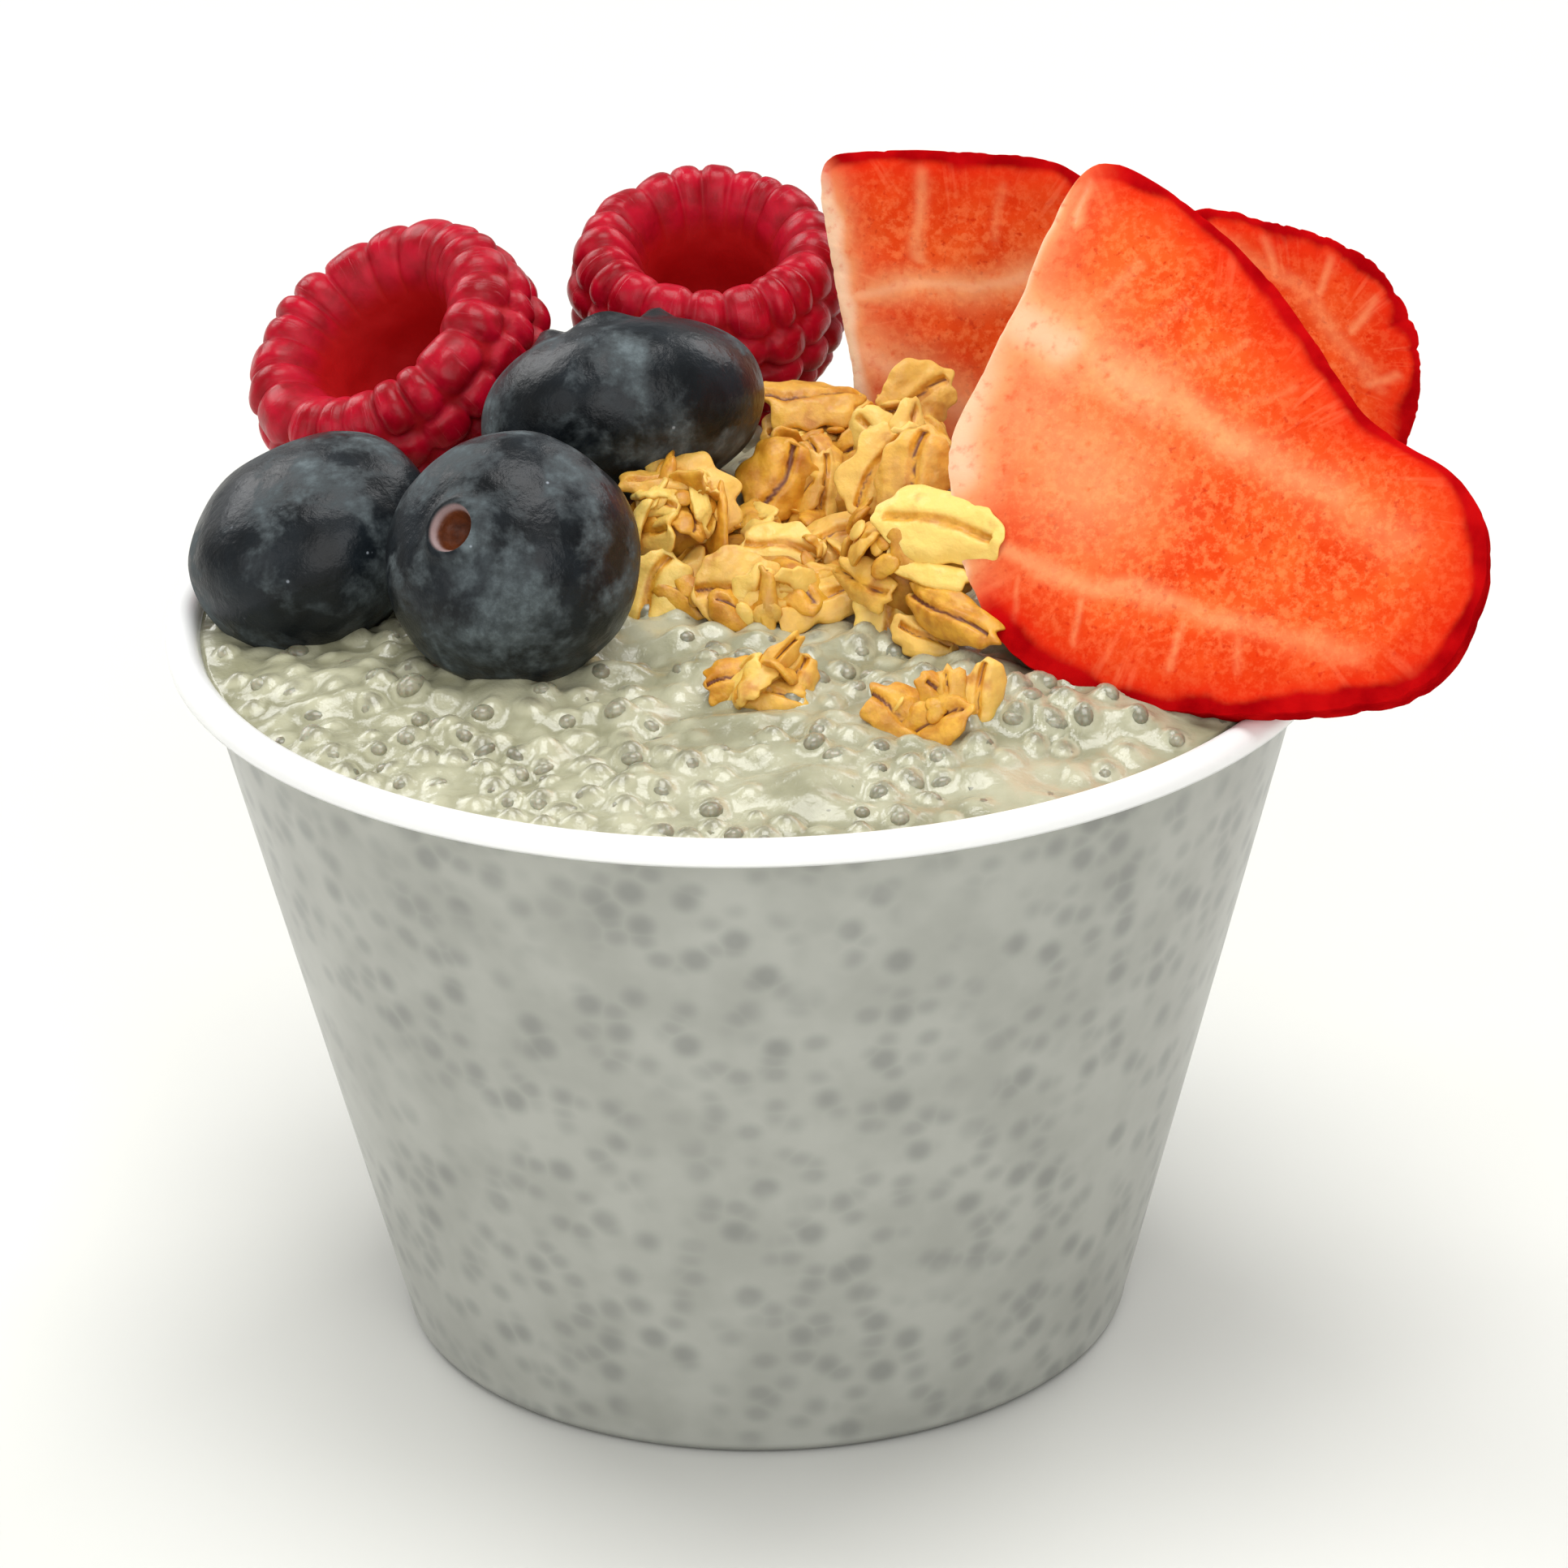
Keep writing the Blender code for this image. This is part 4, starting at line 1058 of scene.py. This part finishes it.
def toasted_oat():
    """Golden oats: tone is 1 on the palest flakes and lower on browner ones, and lowest where shade is
    painted dark brown: in the creases, on the undersides and on the cores.
    """
    paint = Paint(
        "toasted oat", Roughness=0.5, Subsurface_Weight=0.12, Subsurface_Scale=0.001,
        Coat_Weight=0.12,
    )
    tone = paint.value("tone")
    mottle = paint.fade(paint.noise(0.0012, 4.0), 0.32, 0.68)
    oat = paint.mix(mottle, rgb(196, 128, 22), rgb(229, 169, 50))
    oat = paint.mix(paint.fade(tone, 0.55, 1.0), oat, rgb(248, 208, 108))
    toast = paint.fade(paint.noise(0.0022), 0.58, 0.74)
    oat = paint.mix(paint.times(toast, 0.6), oat, rgb(186, 104, 24))
    # Painted shade: dark brown where the tone is low, in the creases, on the undersides and on the
    # cores
    oat = paint.mix(paint.fade(tone, 0.30, 0.0), oat, rgb(112, 54, 14))
    paint.colour(oat)
    paint.bump(paint.noise(0.0007, 5.0), 0.00016, 0.8)
    return paint.material


def flake_form(form, length, width, rng):
    """A rolled oat with a crease along it, curled edges and a ragged outline."""
    seed = rng.randint(1, 900)
    curl = rng.uniform(0.35, 1.0)
    angle = np.arctan2(form[:, 1], form[:, 0])
    flat = np.clip(np.hypot(form[:, 0], form[:, 1]), 1e-6, 1.0)
    edge = round_noise(angle, seed, 2.3)
    across = flat**0.6 * (1 + 0.3 * edge * flat**2)
    x = length / 2 * across * np.cos(angle)
    y = width / 2 * across * np.sin(angle)
    share_x, share_y = x / (length / 2), y / (width / 2)
    level = 0.36 * np.sign(form[:, 2]) * np.abs(form[:, 2]) ** 0.7
    level -= curl * share_y**2 + 0.4 * curl * share_x**2
    bend = 0.12 * np.sin(share_x * 3 + seed)
    crease = np.exp(-(((share_y - bend) / 0.11) ** 2)) * (np.abs(share_x) < 0.85)
    top = form[:, 2] > 0
    level -= np.where(top, 0.42 * crease, 0.0)
    points = np.stack([x, y, level], axis=1)
    twist = 0.5 * share_x * share_y * math.sin(seed)
    fold = 0.5 * np.maximum(0.0, share_y * math.cos(seed) + share_x * math.sin(seed) - 0.45)
    ripple = unevenness(points, 1.3, seed) * 0.24 + unevenness(points, 0.6, seed + 3) * 0.09
    points[:, 2] += ripple + twist + fold * length / 4
    # A random toast for each flake; the creases and the underside are lowered as painted shade
    tone = rng.uniform(0.5, 1.0) - np.where(top, 0.75 * crease, 0.3)
    return points, np.clip(tone, 0, 1)


def build_granola(name, rows, lumps, fillers, crumbs, seed, oat):
    """Placed flakes, rounded cores, and loose flakes and crumbs spread over the cores."""
    rng = random.Random(seed)
    heap = Heap()
    fine, fine_faces = ball(5)
    coarse, coarse_faces = light_ball(32, 14)
    crumb, crumb_faces = ball(2)
    for x, y, z, length, width, lean, turn, heading in rows:
        points, tone = flake_form(fine, length, width, rng)
        heap.add(place(points, lean_back((x, y, z), lean, heading, turn)), fine_faces, tone)
    for centre, reach in lumps:
        points = coarse * np.array(reach) * CORE_SHARE
        points *= (1 + 0.12 * unevenness(points, 1.8, rng.randint(0, 99)))[:, None]
        heap.add(points + np.array(centre), coarse_faces, CORE_SHADE_TONE)

    def on_lump():
        centre, reach = lumps[rng.randrange(len(lumps))]
        angle = rng.uniform(0, 2 * math.pi)
        rise = rng.uniform(0.05, 0.95)
        flat = math.sqrt(1 - rise**2)
        out = Vector((flat * math.cos(angle), flat * math.sin(angle), rise))
        spot = Vector(centre) + Vector([0.9 * out[k] * reach[k] for k in range(3)])
        return spot, out

    for _ in range(fillers):
        spot, out = on_lump()
        points, tone = flake_form(coarse, rng.uniform(3.4, 5.4), rng.uniform(2.4, 3.8), rng)
        out = (out + Vector([rng.uniform(-0.6, 0.6) for _ in range(3)])).normalized()
        heap.add(place(points, stand_along(spot, out, rng.uniform(0, 6.3))), coarse_faces, tone)
    for _ in range(crumbs):
        spot, out = on_lump()
        size = np.array((rng.uniform(0.5, 1.1), rng.uniform(0.4, 0.8), rng.uniform(0.15, 0.3)))
        points = crumb * size
        heap.add(
            place(points, stand_along(spot + out * 0.2, out, rng.uniform(0, 6.3))),
            crumb_faces, rng.uniform(0.2, 1.0),
        )
    mesh = heap.mesh(name, oat)
    finished_piece(f"{name}_detail", mesh, "granola", name)


def build_floor():
    bm = bmesh.new()
    bmesh.ops.create_grid(bm, x_segments=8, y_segments=8, size=3.0)
    mesh = bpy.data.meshes.new("floor")
    bm.to_mesh(mesh)
    bm.free()
    paint = Paint("floor", Roughness=0.6)
    paint.colour(paint.mix(paint.noise(0.2, 2.0), rgb(223, 223, 217), rgb(227, 227, 222)))
    mesh.materials.append(paint.material)
    floor = bpy.data.objects.new("floor", mesh)
    floor.location.z = -0.0001
    bpy.context.scene.collection.objects.link(floor)


def area_light(name, spot, target, size, power):
    light = bpy.data.lights.new(name, "AREA")
    light.size = size
    light.energy = power
    obj = bpy.data.objects.new(name, light)
    obj.location = spot
    aim = Vector(target) - Vector(spot)
    obj.rotation_euler = aim.to_track_quat("-Z", "Y").to_euler()
    bpy.context.scene.collection.objects.link(obj)


def build_lights():
    for light in LIGHTS:
        area_light(*light)
    world = bpy.data.worlds.new("studio")
    world.use_nodes = True
    background = world.node_tree.nodes["Background"]
    background.inputs["Color"].default_value = (1.0, 1.0, 1.0, 1.0)
    background.inputs["Strength"].default_value = WORLD_STRENGTH
    bpy.context.scene.world = world
    bpy.context.scene.view_settings.view_transform = "Standard"


def build_camera():
    camera = bpy.data.cameras.new("camera")
    camera.sensor_width = CAMERA_SENSOR
    camera.lens = CAMERA_LENS
    camera.clip_start = 0.01
    obj = bpy.data.objects.new("camera", camera)
    pitch = Matrix.Rotation(math.radians(90 - CAMERA_DOWN), 4, "X")
    roll = Matrix.Rotation(math.radians(CAMERA_ROLL), 4, "Z")
    obj.matrix_world = Matrix.Translation(Vector(CAMERA_PLACE) * 0.001) @ pitch @ roll
    bpy.context.scene.collection.objects.link(obj)
    bpy.context.scene.camera = obj


def main():
    build_camera()
    build_lights()
    build_floor()
    build_cup()

    rng = random.Random(5)
    seeds = scatter_seeds(rng)
    build_pudding(seeds)
    build_seeds(seeds, rng)

    skin = blueberry_skin()
    for blueberry in BLUEBERRIES:
        build_blueberry(*blueberry, skin)
    flesh = raspberry_flesh()
    for raspberry in RASPBERRIES:
        build_raspberry(*raspberry, flesh)
    cut = strawberry_flesh()
    build_achenes([build_strawberry(*piece, cut) for piece in SLICES])
    oat = toasted_oat()
    for heap in GRANOLA:
        build_granola(*heap, oat)


main()
